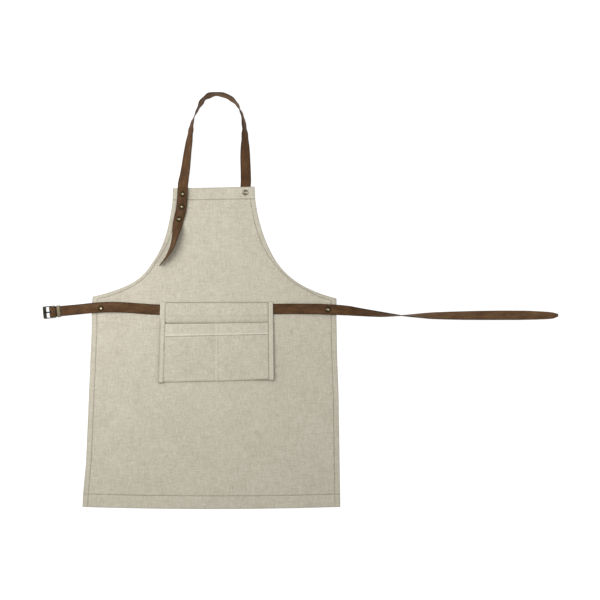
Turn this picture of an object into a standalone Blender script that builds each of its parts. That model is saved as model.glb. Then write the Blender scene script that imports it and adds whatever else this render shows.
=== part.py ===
"""Canvas work apron with leather straps, laid flat on a table with its front up.

+X is to the right, +Y towards the bib, +Z up from the table. The origin is on the
table, under the centre of the whole outline. Sizes are in millimetres here and are
turned into metres where the meshes are made.
"""

import math

import bmesh
import bpy
from mathutils import Matrix, Vector

MM = 0.001
GAP = 0.3  # clearance between pieces that touch
SPLIT = 0.9  # each strap ends this far short of the line where it lifts

# Canvas ------------------------------------------------------------------------
CLOTH = 1.0  # thickness of the canvas
HEM = 1.3  # thickness of a turned hem
CENTRE_X = -230.0  # middle of the bib's top
BIB_TOP = 299.0
BIB_HALF = 108.7
HEM_Y = -549.0
HEM_SAG = 5.5  # how far the bottom edge bows down in the middle
WAIST_SHIFT = 1.5  # the waist lies this far to the right of the bib's top
SKIRT_LEAN = 7.6  # and the skirt's bottom this far to the left of the waist
BIB_SLOPE = 0.018  # the bib's top edge rises this much per unit to the right
WAIST_SLOPE = -0.0075  # and the waist falls
HEM_HALF = 340.2
WAIST_Y = 6.9
WAIST_HALF = 324.0
BIB_HEM_WIDTH = 32.0
BIB_FOOT = BIB_TOP - BIB_HEM_WIDTH
BIB_FOOT_HALF = 109.7
ARMHOLE = ((BIB_FOOT_HALF, BIB_FOOT), (128.0, 119.0), (173.0, 44.0), (WAIST_HALF, WAIST_Y))
BOTTOM_HEM_WIDTH = 34.5
SIDE_HEM_WIDTH = 14.0
PANEL_Z = HEM + GAP  # underside of the canvas panel
PANEL_TOP = PANEL_Z + CLOTH

# Straps ------------------------------------------------------------------------
STRAP_WIDTH = 27.5
LEATHER = 2.5
BIB_SNAP = (-312.8, 281.0)
TAIL_SNAPS = ((-315.7, 247.4), (-322.8, 214.8))
RIVET = (-146.3, 285.0)
BELT_SNAP_LEFT = (-529.4, -21.0)
BELT_SNAP_RIGHT = (72.5, -24.6)
BIB_SNAP_RAISE = 1.3  # the post's flange lifts the bib there
RIVET_RAISE = 3.9  # the strap under the bib lifts it there
UNDER_BIB = 1.1  # underside of the strap's end behind the bib
BELT_ON_SNAP = 6.7  # underside of the belt where it is snapped to the canvas
NECK_ON_SNAP = 8.0  # and of the neck strap where it is snapped to the bib
TAIL_ON_SOCKETS = (6.4, 5.6)  # and of its tail over the two spare sockets
LOOP_HINGE_Y = 312.0
LOOP_HINGE_Z = 7.2
TAIL_HINGE_Y = 295.8
TAIL_HINGE_Z = 9.4

# Pocket ------------------------------------------------------------------------
POCKET_X = -222.5
POCKET_HALF = 149.5
POCKET_FLARE = 3.5  # each side is this much wider at the bottom
POCKET_SLOPE = 0.023  # the bottom edge rises this much per unit to the right
TUNNEL_TOP = -5.3
TUNNEL_BOTTOM = -43.0
POCKET_MOUTH = -60.3
MOUTH_HEM = 33.0
POCKET_BOTTOM = -214.5
BAND_WIDTH = 14.6
BACKING_Z = PANEL_TOP + GAP
FRONT_Z = BACKING_Z + CLOTH + 1.4  # underside of the front at its seams
POCKET_EASE = 5.1  # how far the front stands off between its seams
TUNNEL_Z = BACKING_Z + LEATHER + GAP  # underside of the tunnel over the belt
FLAP_HINGE_Y = -43.6
FLAP_HINGE_Z = 6.9
MOUTH_CLOTH = 0.8

# Belt and buckle ---------------------------------------------------------------
BELT_HINGE_LEFT = -374.0
BELT_HINGE_RIGHT = -71.0
BELT_EXIT_Y = -25.4  # the belt's middle line where it leaves the tunnel on the left
BAR = Vector((-661.7, -31.7, 5.6))  # middle of the buckle's centre bar
BAR_R = 1.5
BUCKLE_TURN = math.radians(5.6)  # the strap's end heads this far off -X
BUCKLE_TILT = math.radians(11.0)  # the front bar lies lower than the rear bar
BUCKLE_WIDTH = 33.0
BUCKLE_PLATE = 2.6
FRONT_EDGE = -21.4
FRONT_BAR = 7.4
REAR_EDGE = 13.4
REAR_BAR = 3.4
RAIL = 2.2
BAR_DROP = 1.5  # the bar's centre is this far under the frame's middle plane
PRONG_R = 1.2
KEEPER_X = -642.6
KEEPER_LENGTH = 9.4
KEEPER_TOP = 8.8
KEEPER_WALL = 1.1
KEEPER_FLOOR = 1.0
KEEPER_EASE = 0.8  # clearance beside the strap in the keeper
FOLD = 3.05  # from the bar's centre to the middle of the leather round it
FOLD_END = -633.5  # the belt's turned-back end
STRAIGHT_FROM = -560.0  # the belt runs straight from here to the buckle
BELT_BOW = 4.6  # how far it bows towards the bib before that
PRONG_SLOT = (19.0, 6.6, 20.0)

# Snap fasteners ----------------------------------------------------------------
CAP_R = 7.5
CAP_H = 1.8
SHANK_R = 2.2
SOCKET_R = 6.0
SOCKET_H = 2.4
STUD_R = 5.5
STUD_H = 2.3
FLANGE_R = 6.0
POST_R = 1.2
POST_RISE = 2.2  # how far a post stands out of the cloth
POST_HOLE = 1.8
SHANK_HOLE = 2.7
RIVET_HOLE = 2.8
RIVET_SHANK = 2.4
TURNS = 16  # sides of a turned piece

COLOURS = {
    "canvas": ((0.60, 0.55, 0.44), 0.9, 0.0),
    "leather": ((0.13, 0.065, 0.03), 0.6, 0.0),
    "antique_brass": ((0.30, 0.24, 0.14), 0.38, 1.0),
    "dark_metal": ((0.09, 0.08, 0.075), 0.42, 1.0),
    "nickel": ((0.42, 0.40, 0.36), 0.32, 1.0),
}


def smooth(t):
    """Ease from 0 to 1 as t goes from 0 to 1."""
    t = min(max(t, 0.0), 1.0)
    return t * t * (3.0 - 2.0 * t)


def bump(t):
    """1 at t = 0, easing down to 0 at 1 on either side."""
    return smooth(1.0 - abs(t))


def clear_scene():
    for obj in list(bpy.data.objects):
        bpy.data.objects.remove(obj, do_unlink=True)


def collection(name):
    made = bpy.data.collections.new(name)
    bpy.context.scene.collection.children.link(made)
    return made


clear_scene()
PARTS = collection("artist_apron")
CUTTERS = collection("cutters")


def material(name):
    """The Principled material of one of the apron's five finishes."""
    if name in bpy.data.materials:
        return bpy.data.materials[name]
    colour, roughness, metallic = COLOURS[name]
    mat = bpy.data.materials.new(name)
    mat.use_nodes = True
    shader = mat.node_tree.nodes["Principled BSDF"]
    shader.inputs["Base Color"].default_value = (*colour, 1.0)
    shader.inputs["Roughness"].default_value = roughness
    shader.inputs["Metallic"].default_value = metallic
    return mat


def add_object(name, mesh, finish=None):
    """Put a mesh in the apron's collection, or among the cutters when it has no finish."""
    obj = bpy.data.objects.new(name, mesh)
    if finish is None:
        CUTTERS.objects.link(obj)
        obj.hide_render = True
        obj.display_type = "WIRE"
        return obj
    PARTS.objects.link(obj)
    mesh.materials.clear()
    mesh.materials.append(material(finish))
    return obj


def solidify(obj, thickness, offset=1.0):
    mod = obj.modifiers.new("thickness", "SOLIDIFY")
    mod.thickness = thickness * MM
    mod.offset = offset
    mod.use_even_offset = True


def cylinder_cutter(name, place, radius, half=20.0, sides=12):
    """An upright round cutter at (x, y)."""
    bm = bmesh.new()
    bmesh.ops.create_cone(
        bm, cap_ends=True, segments=sides, radius1=radius * MM, radius2=radius * MM, depth=2 * half * MM
    )
    mesh = bpy.data.meshes.new(name)
    bm.to_mesh(mesh)
    bm.free()
    cutter = add_object(name, mesh)
    cutter.location = Vector((place[0], place[1], 0.0)) * MM
    return cutter


def cut(obj, cutter, operation="DIFFERENCE"):
    mod = obj.modifiers.new(cutter.name, "BOOLEAN")
    mod.operation = operation
    mod.object = cutter
    mod.solver = "EXACT"


def box_cutter(name, middle, size, turn=0.0):
    bm = bmesh.new()
    bmesh.ops.create_cube(bm, size=1.0)
    bmesh.ops.scale(bm, vec=Vector(size) * MM, verts=bm.verts)
    mesh = bpy.data.meshes.new(name)
    bm.to_mesh(mesh)
    bm.free()
    cutter = add_object(name, mesh)
    cutter.matrix_world = Matrix.Translation(Vector(middle) * MM) @ Matrix.Rotation(turn, 4, "Z")
    return cutter


def hole(obj, place, radius):
    cut(obj, cylinder_cutter(f"{obj.name}_hole", place, radius))


# Cloth -------------------------------------------------------------------------
def raise_at(x, y):
    """How far the bib stands up over what lies under it at (x, y)."""
    rivet = smooth((52.0 - max(abs(x - RIVET[0]), abs(y - RIVET[1] - 4.0))) / 26.0)
    snap = smooth((27.0 - max(abs(x - BIB_SNAP[0]), abs(y - BIB_SNAP[1]))) / 12.0)
    return RIVET_RAISE * rivet + BIB_SNAP_RAISE * snap


def cloth_grid(name, columns, rows, place, thickness, finish="canvas"):
    """A sheet with its underside at place(u, v), for u and v from 0 to 1, made from a grid."""
    bm = bmesh.new()
    bmesh.ops.create_grid(bm, x_segments=columns, y_segments=rows, size=0.5)
    for vert in bm.verts:
        vert.co = Vector(place(vert.co.x + 0.5, vert.co.y + 0.5)) * MM
    bmesh.ops.recalc_face_normals(bm, faces=bm.faces)
    if sum(face.normal.z for face in bm.faces) < 0:
        bmesh.ops.reverse_faces(bm, faces=bm.faces)
    mesh = bpy.data.meshes.new(name)
    bm.to_mesh(mesh)
    bm.free()
    obj = add_object(name, mesh, finish)
    solidify(obj, thickness)
    mesh.shade_smooth()
    mesh.set_sharp_from_angle(angle=math.radians(35.0))
    return obj


def armhole(t):
    """Half width and height of the armhole's edge, from the bib's corner to the waist's."""
    a, b, c, d = (Vector(p) for p in ARMHOLE)
    s = 1.0 - t
    return a * s**3 + b * 3 * s * s * t + c * 3 * s * t * t + d * t**3


COLUMNS = 20  # across the canvas
SKIRT_ROWS = 12
ARMHOLE_ROWS = 12
BIB_HEM_ROWS = 4


def canvas_row(v):
    """Half width and height of the panel at v, from 0 at the hem to 1 at the bib's top."""
    row = v * (SKIRT_ROWS + ARMHOLE_ROWS + BIB_HEM_ROWS)
    if row >= SKIRT_ROWS + ARMHOLE_ROWS:
        rise = (row - SKIRT_ROWS - ARMHOLE_ROWS) / BIB_HEM_ROWS
        return Vector((BIB_FOOT_HALF, BIB_FOOT)).lerp(Vector((BIB_HALF, BIB_TOP)), rise)
    if row >= SKIRT_ROWS:
        return armhole(1.0 - (row - SKIRT_ROWS) / ARMHOLE_ROWS)
    t = row / SKIRT_ROWS
    return Vector((HEM_HALF + (WAIST_HALF - HEM_HALF) * t, HEM_Y + (WAIST_Y - HEM_Y) * t))


def drift(offset, y):
    """How far the edges wander sideways from a symmetrical outline."""
    far = smooth(abs(offset) / 150.0)
    if offset > 0.0:
        armhole_out = 3.6 * bump((y - 130.0) / 120.0)
        skirt_out = 2.3 * smooth((-130.0 - y) / 130.0) - 0.7 * smooth(-y / 50.0)
        return far * (armhole_out + skirt_out)
    armhole_in = 7.4 * bump((y - 48.0) / 55.0)
    skirt_in = 2.0 * smooth((-30.0 - y) / 60.0) - 4.4 * smooth((-415.0 - y) / 115.0)
    return far * (armhole_in + skirt_in)


def lay(offset, y):
    """Where the cloth at an offset from its middle and a height lies, as it was put down.

    The skirt leans to the left, the bib's top and the waist are not quite level, and the bottom
    edge bows down between its corners.
    """
    wander = offset + drift(offset, y)
    if y > WAIST_Y:
        up = (y - WAIST_Y) / (BIB_TOP - WAIST_Y)
        level = WAIST_SLOPE + (BIB_SLOPE - WAIST_SLOPE) * up
        return CENTRE_X + WAIST_SHIFT * (1.0 - up) + wander, y + level * offset
    down = (WAIST_Y - y) / (WAIST_Y - HEM_Y)
    across = offset / HEM_HALF
    bow = HEM_SAG * (1.0 - across * across) * smooth(1.0 - (y - HEM_Y) / 200.0)
    x = CENTRE_X + WAIST_SHIFT - SKIRT_LEAN * down + wander
    return x, y + WAIST_SLOPE * (1.0 - down) * offset - bow


def make_canvas_panel():
    def place(u, v):
        half, y = canvas_row(v)
        x, y = lay(half * (2.0 * u - 1.0), y)
        return x, y, PANEL_Z + raise_at(x, y)

    rows = SKIRT_ROWS + ARMHOLE_ROWS + BIB_HEM_ROWS
    panel = cloth_grid("canvas_panel", COLUMNS, rows, place, CLOTH)
    hole(panel, BIB_SNAP, POST_HOLE)
    hole(panel, RIVET, RIVET_HOLE)
    hole(panel, BELT_SNAP_LEFT, POST_HOLE)
    hole(panel, BELT_SNAP_RIGHT, POST_HOLE)


def make_cross_hem(name, low, high, half, inset, columns):
    """A turned hem right across the apron, between two heights."""
    def place(u, v):
        x, y = lay((half - inset) * (2.0 * u - 1.0), low + (high - low) * v)
        return x, y, raise_at(x, y)

    return cloth_grid(name, columns, 4, place, HEM)


def make_side_hem(name, side):
    """The turned hem down one side of the skirt."""
    top = WAIST_Y - SIDE_HEM_WIDTH - 4.0
    low = HEM_Y + BOTTOM_HEM_WIDTH + 1.0

    def place(u, v):
        y = low + (top - low) * v
        share = (y - HEM_Y) / (WAIST_Y - HEM_Y)
        edge = HEM_HALF + (WAIST_HALF - HEM_HALF) * share - 0.4
        return *lay(side * (edge - SIDE_HEM_WIDTH * u), y), 0.0

    return cloth_grid(name, 1, 10, place, HEM)


def make_armhole_facing(name, side):
    """The strip of binding sewn behind the curved edge of one armhole."""
    first, last = 0.003, 0.965

    def place(u, v):
        t = first + (last - first) * v
        point = armhole(t)
        ahead = armhole(t + 0.002) - armhole(t - 0.002)
        inward = Vector((ahead.y, -ahead.x)).normalized()
        point = point + inward * (0.4 + SIDE_HEM_WIDTH * u)
        x, y = lay(side * point.x, point.y)
        return x, y, max(0.0, raise_at(x, y) - GAP)

    return cloth_grid(name, 1, ARMHOLE_ROWS, place, HEM)


def make_canvas():
    make_canvas_panel()
    bib = make_cross_hem("bib_hem", BIB_FOOT, BIB_TOP - 0.4, BIB_HALF, 0.6, COLUMNS)
    hole(bib, BIB_SNAP, POST_HOLE)
    hole(bib, RIVET, RIVET_HOLE)
    make_cross_hem("bottom_hem", HEM_Y, HEM_Y + BOTTOM_HEM_WIDTH, HEM_HALF, 1.4, 12)
    for side, word in ((-1, "left"), (1, "right")):
        make_side_hem(f"side_hem_{word}", side)
        make_armhole_facing(f"armhole_facing_{word}", side)


# Pocket ------------------------------------------------------------------------
def pocket_half(y):
    share = (TUNNEL_TOP - y) / (TUNNEL_TOP - POCKET_BOTTOM)
    return POCKET_HALF + POCKET_FLARE * share


def pocket_stand(across, y):
    """How far the pocket's front stands off at a share of its half width and a height."""
    inner = 1.0 - (BAND_WIDTH + 3.0) / POCKET_HALF
    share = abs(across) / inner
    if share >= 1.0:
        return 0.0
    belly = min(1.0, 1.9 * math.sin(math.pi * share))
    fall = smooth((y - POCKET_BOTTOM - 9.0) / 45.0)
    return POCKET_EASE * belly * fall


def pocket_sheet(name, top, bottom, left, right, level, thickness, columns, rows):
    """A piece of the pocket; left and right are shares of its half width."""
    def place(u, v):
        y = bottom + (top - bottom) * v
        across = left + (right - left) * u
        offset = pocket_half(y) * across
        slope = POCKET_SLOPE * (TUNNEL_TOP - y) / (TUNNEL_TOP - POCKET_BOTTOM)
        return POCKET_X + offset, y + slope * offset, level(across, y)

    return cloth_grid(name, columns, rows, place, thickness)


def tunnel_arch(y):
    """Underside of the belt tunnel: it lies on the canvas at its seams and spans the belt."""
    from_top = smooth((TUNNEL_TOP - y) / 5.0)
    from_bottom = smooth((y - TUNNEL_BOTTOM) / 4.0)
    return BACKING_Z + (TUNNEL_Z - BACKING_Z) * min(from_top, from_bottom)


def make_pocket():
    band = BAND_WIDTH / POCKET_HALF
    pocket_sheet("belt_tunnel", TUNNEL_TOP, TUNNEL_BOTTOM, -1, 1, lambda a, y: tunnel_arch(y), CLOTH, 4, 26)
    backing_top = FLAP_HINGE_Y - 0.6
    pocket_sheet("pocket_backing", backing_top, POCKET_BOTTOM, -1, 1, lambda a, y: BACKING_Z, CLOTH, 6, 6)
    pocket_sheet(
        "pocket_front", POCKET_MOUTH, POCKET_BOTTOM, -1, 1,
        lambda a, y: FRONT_Z + pocket_stand(a, y), CLOTH, 32, 12,
    )
    hem_under = MOUTH_CLOTH + GAP
    pocket_sheet(
        "pocket_mouth_hem", POCKET_MOUTH, POCKET_MOUTH - MOUTH_HEM, -0.995, 0.995,
        lambda a, y: FRONT_Z + pocket_stand(a, y) - hem_under, MOUTH_CLOTH, 32, 2,
    )
    over_front = FRONT_Z + CLOTH + GAP
    for side, word in ((-1, "left"), (1, "right")):
        ends = sorted((side * (1.0 - band), side * 1.0))
        pocket_sheet(
            f"pocket_band_{word}", backing_top, POCKET_BOTTOM, *ends,
            lambda a, y: over_front, MOUTH_CLOTH, 1, 6,
        )
        pocket_sheet(
            f"tunnel_band_{word}", TUNNEL_TOP, TUNNEL_BOTTOM, *ends,
            lambda a, y: tunnel_arch(y) + CLOTH + 3.0 * GAP, MOUTH_CLOTH, 1, 26,
        )


# Straps ------------------------------------------------------------------------
def spline(points, t):
    """A smooth value between hand-set points, each a tuple of the same length."""
    last = len(points) - 1
    k = min(int(t * last), last - 1)
    f = t * last - k
    p1, p2 = Vector(points[k]), Vector(points[k + 1])
    p0 = Vector(points[k - 1]) if k > 0 else p1 * 2 - p2
    p3 = Vector(points[k + 2]) if k < last - 1 else p2 * 2 - p1
    square = 2 * p0 - 5 * p1 + 4 * p2 - p3
    cube = 3 * p1 - p0 - 3 * p2 + p3
    return 0.5 * (2 * p1 + (p2 - p0) * f + square * f**2 + cube * f**3)


def strap_route(places, rolls, count):
    """Centreline samples (x, y, z, roll, width share) of a strap.

    places are (x, y, support height); rolls are (roll in degrees, width share), point for point.
    A strap that is rolled onto its edge is lifted so that its lower edge keeps to the support.
    """
    samples = []
    for k in range(count):
        t = k / (count - 1)
        x, y, support = spline(places, t)
        roll, share = spline(rolls, t)
        roll = math.radians(roll)
        rise = 0.5 * STRAP_WIDTH * share * abs(math.sin(roll)) + 0.5 * LEATHER * abs(math.cos(roll))
        samples.append((x, y, support + rise, roll, share))
    return samples


def strap(name, samples):
    """A flat leather strap along the samples, from a curve with tilt and a thickness."""
    data = bpy.data.curves.new(name, "CURVE")
    data.dimensions = "3D"
    data.twist_mode = "Z_UP"
    data.extrude = 0.5 * STRAP_WIDTH * MM
    line = data.splines.new("POLY")
    line.points.add(len(samples) - 1)
    for point, (x, y, z, roll, share) in zip(line.points, samples):
        point.co = (x * MM, y * MM, z * MM, 1.0)
        point.tilt = math.radians(90.0) + roll
        point.radius = share
    guide = bpy.data.objects.new(name, data)
    PARTS.objects.link(guide)
    bpy.context.view_layer.update()
    mesh = bpy.data.meshes.new_from_object(guide.evaluated_get(bpy.context.evaluated_depsgraph_get()))
    bpy.data.objects.remove(guide, do_unlink=True)
    bm = bmesh.new()
    bm.from_mesh(mesh)
    bmesh.ops.remove_doubles(bm, verts=bm.verts, dist=0.01 * MM)
    bm.to_mesh(mesh)
    bm.free()
    mesh.name = name
    obj = add_object(name, mesh, "leather")
    solidify(obj, LEATHER, 0.0)
    return obj


FLAT = (0.0, 1.0)  # no roll, full width


def make_neck_strap():
    anchor = strap_route(
        (
            (-147.2, 269.0, UNDER_BIB),
            (-145.8, 290.0, UNDER_BIB),
            (-144.9, LOOP_HINGE_Y - SPLIT, UNDER_BIB),
        ),
        (FLAT, FLAT, FLAT),
        5,
    )
    hole(strap("neck_strap_anchor", anchor), RIVET, RIVET_HOLE)
    loop = strap_route(
        (
            (-144.9, LOOP_HINGE_Y + SPLIT, UNDER_BIB),
            (-145.4, 346.0, 0.5),
            (-146.6, 382.0, GAP),
            (-147.0, 420.0, GAP),
            (-148.6, 456.0, GAP),
            (-155.0, 491.0, GAP),
            (-170.5, 521.0, GAP),
            (-196.0, 540.0, GAP),
            (-228.0, 545.0, GAP),
            (-254.5, 533.5, GAP),
            (-272.0, 505.0, GAP),
            (-286.0, 472.0, GAP),
            (-294.0, 434.0, GAP),
            (-300.0, 392.0, GAP),
            (-306.4, 345.0, 1.6),
            (-311.2, LOOP_HINGE_Y + SPLIT, 4.4),
        ),
        (
            FLAT, (13, 1), (27, 1), (48, 1),
            (65, 1), (85, 1), (98, 1), (109, 1),
            (108, 1), (107, 1), (97, 1), (80, 1),
            (60, 1), (51, 1), (34, 1), FLAT,
        ),
        61,
    )
    strap("neck_loop", loop)
    bridge = strap_route(
        ((-311.3, LOOP_HINGE_Y - SPLIT, 4.45), (-312.1, TAIL_HINGE_Y + SPLIT, 6.3)),
        (FLAT, FLAT),
        3,
    )
    strap("neck_strap_bridge", bridge)
    tail = strap_route(
        (
            (-312.1, TAIL_HINGE_Y - SPLIT, 6.6),
            (-312.4, 289.0, NECK_ON_SNAP + 0.1),
            (-313.3, 272.0, NECK_ON_SNAP + 0.1),
            (-314.6, 257.5, 6.5),
            (-317.2, 236.5, 6.5),
            (-320.1, 224.5, 5.5),
            (-325.2, 204.0, 5.5),
            (-327.6, 189.0, 4.6),
            (-331.0, 172.0, 3.6),
            (-338.5, 144.0, 3.4),
            (-352.6, 117.0, 4.4),
            (-372.8, 91.6, 6.5),
        ),
        (
            FLAT, FLAT, FLAT, FLAT,
            FLAT, (0, 0.99), (0, 0.94), (20, 0.93),
            (45, 0.94), (61, 0.95), (73, 0.86), (84, 0.34),
        ),
        45,
    )
    tail_strap = strap("neck_tail", tail)
    for place in (BIB_SNAP, *TAIL_SNAPS):
        hole(tail_strap, place, SHANK_HOLE)


def belt_left_height(x):
    """Height of the left belt's middle layer above the table on its way to the buckle."""
    stops = (
        (BELT_HINGE_LEFT - SPLIT, 4.15),
        (-440.0, 4.9),
        (-508.0, BELT_ON_SNAP + LEATHER / 2),
        (-548.0, BELT_ON_SNAP + LEATHER / 2),
        (-600.0, 2.6),
        (-611.0, 2.6),
        (-631.0, 5.6),
        (-651.0, 5.75),
        (BAR.x, BAR.z + FOLD),
    )
    for (x0, z0), (x1, z1) in zip(stops, stops[1:]):
        if x >= x1:
            return z0 + (z1 - z0) * smooth((x0 - x) / (x0 - x1))
    return stops[-1][1]


def belt_left_course(x):
    """Y of the left belt's centreline."""
    if x < STRAIGHT_FROM:
        return BAR.y + math.tan(BUCKLE_TURN) * (x - BAR.x)
    straight = BAR.y + math.tan(BUCKLE_TURN) * (STRAIGHT_FROM - BAR.x)
    share = max(0.0, (BELT_HINGE_LEFT - x) / (BELT_HINGE_LEFT - STRAIGHT_FROM))
    bow = BELT_BOW * math.sin(math.pi * share**1.5)
    return BELT_EXIT_Y + (straight - BELT_EXIT_Y) * share + bow


def make_belt_left():
    """The belt's left end: it runs to the buckle, turns round the bar and comes back below."""
    profile = []
    steps = 52
    first = BELT_HINGE_LEFT - SPLIT
    for k in range(steps + 1):
        x = first + (BAR.x - first) * k / steps
        profile.append((x, belt_left_height(x)))
    for k in range(1, 10):
        angle = math.radians(90.0 + 20.0 * k)
        profile.append((BAR.x + FOLD * math.cos(angle), BAR.z + FOLD * math.sin(angle)))
    for x in (-655.0, -645.0, FOLD_END):
        profile.append((x, BAR.z - FOLD))

    bm = bmesh.new()
    rows = []
    for x, z in profile:
        rows.append([bm.verts.new((x, side * 0.5 * STRAP_WIDTH, z)) for side in (-1, 1)])
    for (a, b), (c, d) in zip(rows, rows[1:]):
        bm.faces.new((a, b, d, c))
    slope = math.tan(BUCKLE_TURN)
    for vert in bm.verts:
        x, across, z = vert.co
        turn = smooth((-600.0 - x) / 40.0)
        y = belt_left_course(max(x, -680.0)) + across
        vert.co = Vector((x - slope * across * turn, y, z)) * MM
    mesh = bpy.data.meshes.new("belt_left")
    bm.to_mesh(mesh)
    bm.free()
    belt = add_object("belt_left", mesh, "leather")
    solidify(belt, LEATHER, 0.0)
    hole(belt, BELT_SNAP_LEFT, SHANK_HOLE)
    cut(belt, box_cutter("prong_slot", (BAR.x + 0.5, BAR.y, BAR.z), PRONG_SLOT, BUCKLE_TURN))


def make_belt():
    middle = strap_route(
        (
            (BELT_HINGE_LEFT + SPLIT, -25.2, BACKING_Z),
            (-224.0, -25.4, BACKING_Z),
            (BELT_HINGE_RIGHT - SPLIT, -23.6, BACKING_Z),
        ),
        (FLAT, FLAT, FLAT),
        9,
    )
    strap("belt_middle", middle)
    right = strap_route(
        (
            (BELT_HINGE_RIGHT + SPLIT, -23.6, BACKING_Z),
            (-20.0, -23.0, 4.2),
            (44.0, -23.4, BELT_ON_SNAP),
            (*BELT_SNAP_RIGHT, BELT_ON_SNAP),
            (92.0, -25.6, 5.6),
            (128.0, -28.2, 1.6),
            (163.0, -32.4, 0.5),
            (217.0, -37.9, GAP),
            (272.0, -40.9, GAP),
            (317.0, -41.2, GAP),
            (353.0, -41.3, GAP),
            (426.0, -40.9, GAP),
            (506.0, -40.3, GAP),
            (589.0, -40.1, GAP),
            (643.0, -40.5, GAP),
            (668.0, -40.8, GAP),
            (684.0, -39.8, GAP),
        ),
        (
            FLAT, FLAT, FLAT, FLAT,
            FLAT, (22, 1), (42, 1), (63, 1),
            (92, 1), (113, 1), (128, 1), (143, 1),
            (152, 1), (158, 0.95), (166, 0.78), (170, 0.62),
            (172, 0.26),
        ),
        68,
    )
    hole(strap("belt_right", right), BELT_SNAP_RIGHT, SHANK_HOLE)
    make_belt_left()


# Metal -------------------------------------------------------------------------
def turned(name, profile, place, finish):
    """A turned piece; profile is (radius, height) from the top of the axis, or a closed ring."""
    ring = profile[0][0] > 0.0
    bm = bmesh.new()
    verts = [bm.verts.new((r * MM, 0.0, z * MM)) for r, z in profile]
    for a, b in zip(verts, verts[1:]):
        bm.edges.new((a, b))
    if ring:
        bm.edges.new((verts[-1], verts[0]))
    mesh = bpy.data.meshes.new(name)
    bm.to_mesh(mesh)
    bm.free()
    obj = add_object(name, mesh, finish)
    obj.location = (place[0] * MM, place[1] * MM, 0.0)
    screw = obj.modifiers.new("turn", "SCREW")
    screw.axis = "Z"
    screw.steps = TURNS
    screw.render_steps = TURNS
    screw.use_merge_vertices = True
    screw.merge_threshold = 0.00001
    screw.use_smooth_shade = True
    return obj


def make_cap(name, place, strap_under):
    """The visible cap of a snap, with its shank down through the strap."""
    low = strap_under + LEATHER + GAP + 0.1
    foot = strap_under - 0.8
    profile = (
        (0.0, low + CAP_H - 0.5),
        (2.6, low + CAP_H - 0.5),
        (4.6, low + CAP_H),
        (6.4, low + CAP_H - 0.2),
        (CAP_R, low + 0.7),
        (CAP_R - 0.3, low),
        (SHANK_R, low),
        (SHANK_R, foot),
        (0.0, foot),
    )
    turned(name, profile, place, "antique_brass")


def make_socket(name, place, strap_under):
    """The ring under the strap: open below for the stud, holed above for the cap's shank."""
    top = strap_under - GAP - 0.1
    low = top - SOCKET_H
    profile = (
        (2.6, top),
        (SOCKET_R - 0.6, top),
        (SOCKET_R, top - 0.8),
        (SOCKET_R, low),
        (3.4, low),
        (3.4, top - 0.9),
        (2.6, top - 0.9),
    )
    turned(name, profile, place, "antique_brass")


def make_stud(name, place, cloth_top):
    """The stud on the cloth: a ring with a flange, held by the post in its middle."""
    low = cloth_top + GAP
    profile = (
        (1.5, low + STUD_H),
        (2.9, low + STUD_H),
        (3.1, low + STUD_H - 0.8),
        (2.8, low + 0.8),
        (STUD_R, low + 0.8),
        (STUD_R, low),
        (1.5, low),
    )
    turned(name, profile, place, "antique_brass")


def make_post(name, place, flange_top, top):
    """A pin with a flange at its foot, standing through the cloth from behind."""
    profile = (
        (0.0, top),
        (POST_R, top),
        (POST_R, flange_top),
        (FLANGE_R, flange_top),
        (FLANGE_R, flange_top - 1.0),
        (0.0, flange_top - 1.0),
    )
    turned(name, profile, place, "antique_brass")


def make_rivet():
    """The rivet that holds the strap's end behind the bib: a hollow cap and a back with a pin."""
    cloth_top = PANEL_TOP + RIVET_RAISE
    strap_under = UNDER_BIB - GAP
    profile = (
        (0.0, cloth_top + 1.6),
        (2.6, cloth_top + 1.6),
        (4.6, cloth_top + 2.1),
        (6.4, cloth_top + 1.9),
        (CAP_R, cloth_top + 1.0),
        (CAP_R - 0.3, cloth_top + GAP),
        (RIVET_SHANK, cloth_top + GAP),
        (RIVET_SHANK, 2.0),
        (1.5, 2.0),
        (1.5, cloth_top + 0.6),
        (0.0, cloth_top + 0.6),
    )
    turned("bib_rivet_cap", profile, RIVET, "nickel")
    make_post("bib_rivet_back", RIVET, strap_under + 0.2, cloth_top - 1.2)


def make_fasteners():
    for word, place in (("left", BELT_SNAP_LEFT), ("right", BELT_SNAP_RIGHT)):
        name = f"belt_snap_{word}"
        make_cap(f"{name}_cap", place, BELT_ON_SNAP)
        make_socket(f"{name}_socket", place, BELT_ON_SNAP)
        make_stud(f"{name}_stud", place, PANEL_TOP)
        make_post(f"{name}_post", place, PANEL_Z - GAP, PANEL_TOP + POST_RISE)
    cloth_top = PANEL_TOP + BIB_SNAP_RAISE
    make_cap("bib_snap_cap", BIB_SNAP, NECK_ON_SNAP)
    make_socket("bib_snap_socket", BIB_SNAP, NECK_ON_SNAP)
    make_stud("bib_snap_stud", BIB_SNAP, cloth_top)
    make_post("bib_snap_post", BIB_SNAP, BIB_SNAP_RAISE - GAP, cloth_top + POST_RISE)
    for word, place, under in zip(("middle", "end"), TAIL_SNAPS, TAIL_ON_SOCKETS):
        make_cap(f"tail_snap_{word}_cap", place, under)
        make_socket(f"tail_snap_{word}_socket", place, under)
    make_rivet()


def buckle_matrix():
    """From the buckle's own frame: +X along the strap to its rear bar, +Z out of its face."""
    turn = Matrix.Rotation(BUCKLE_TURN, 4, "Z")
    tilt = Matrix.Rotation(-BUCKLE_TILT, 4, "Y")
    return Matrix.Translation(BAR * MM) @ turn @ tilt


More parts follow.
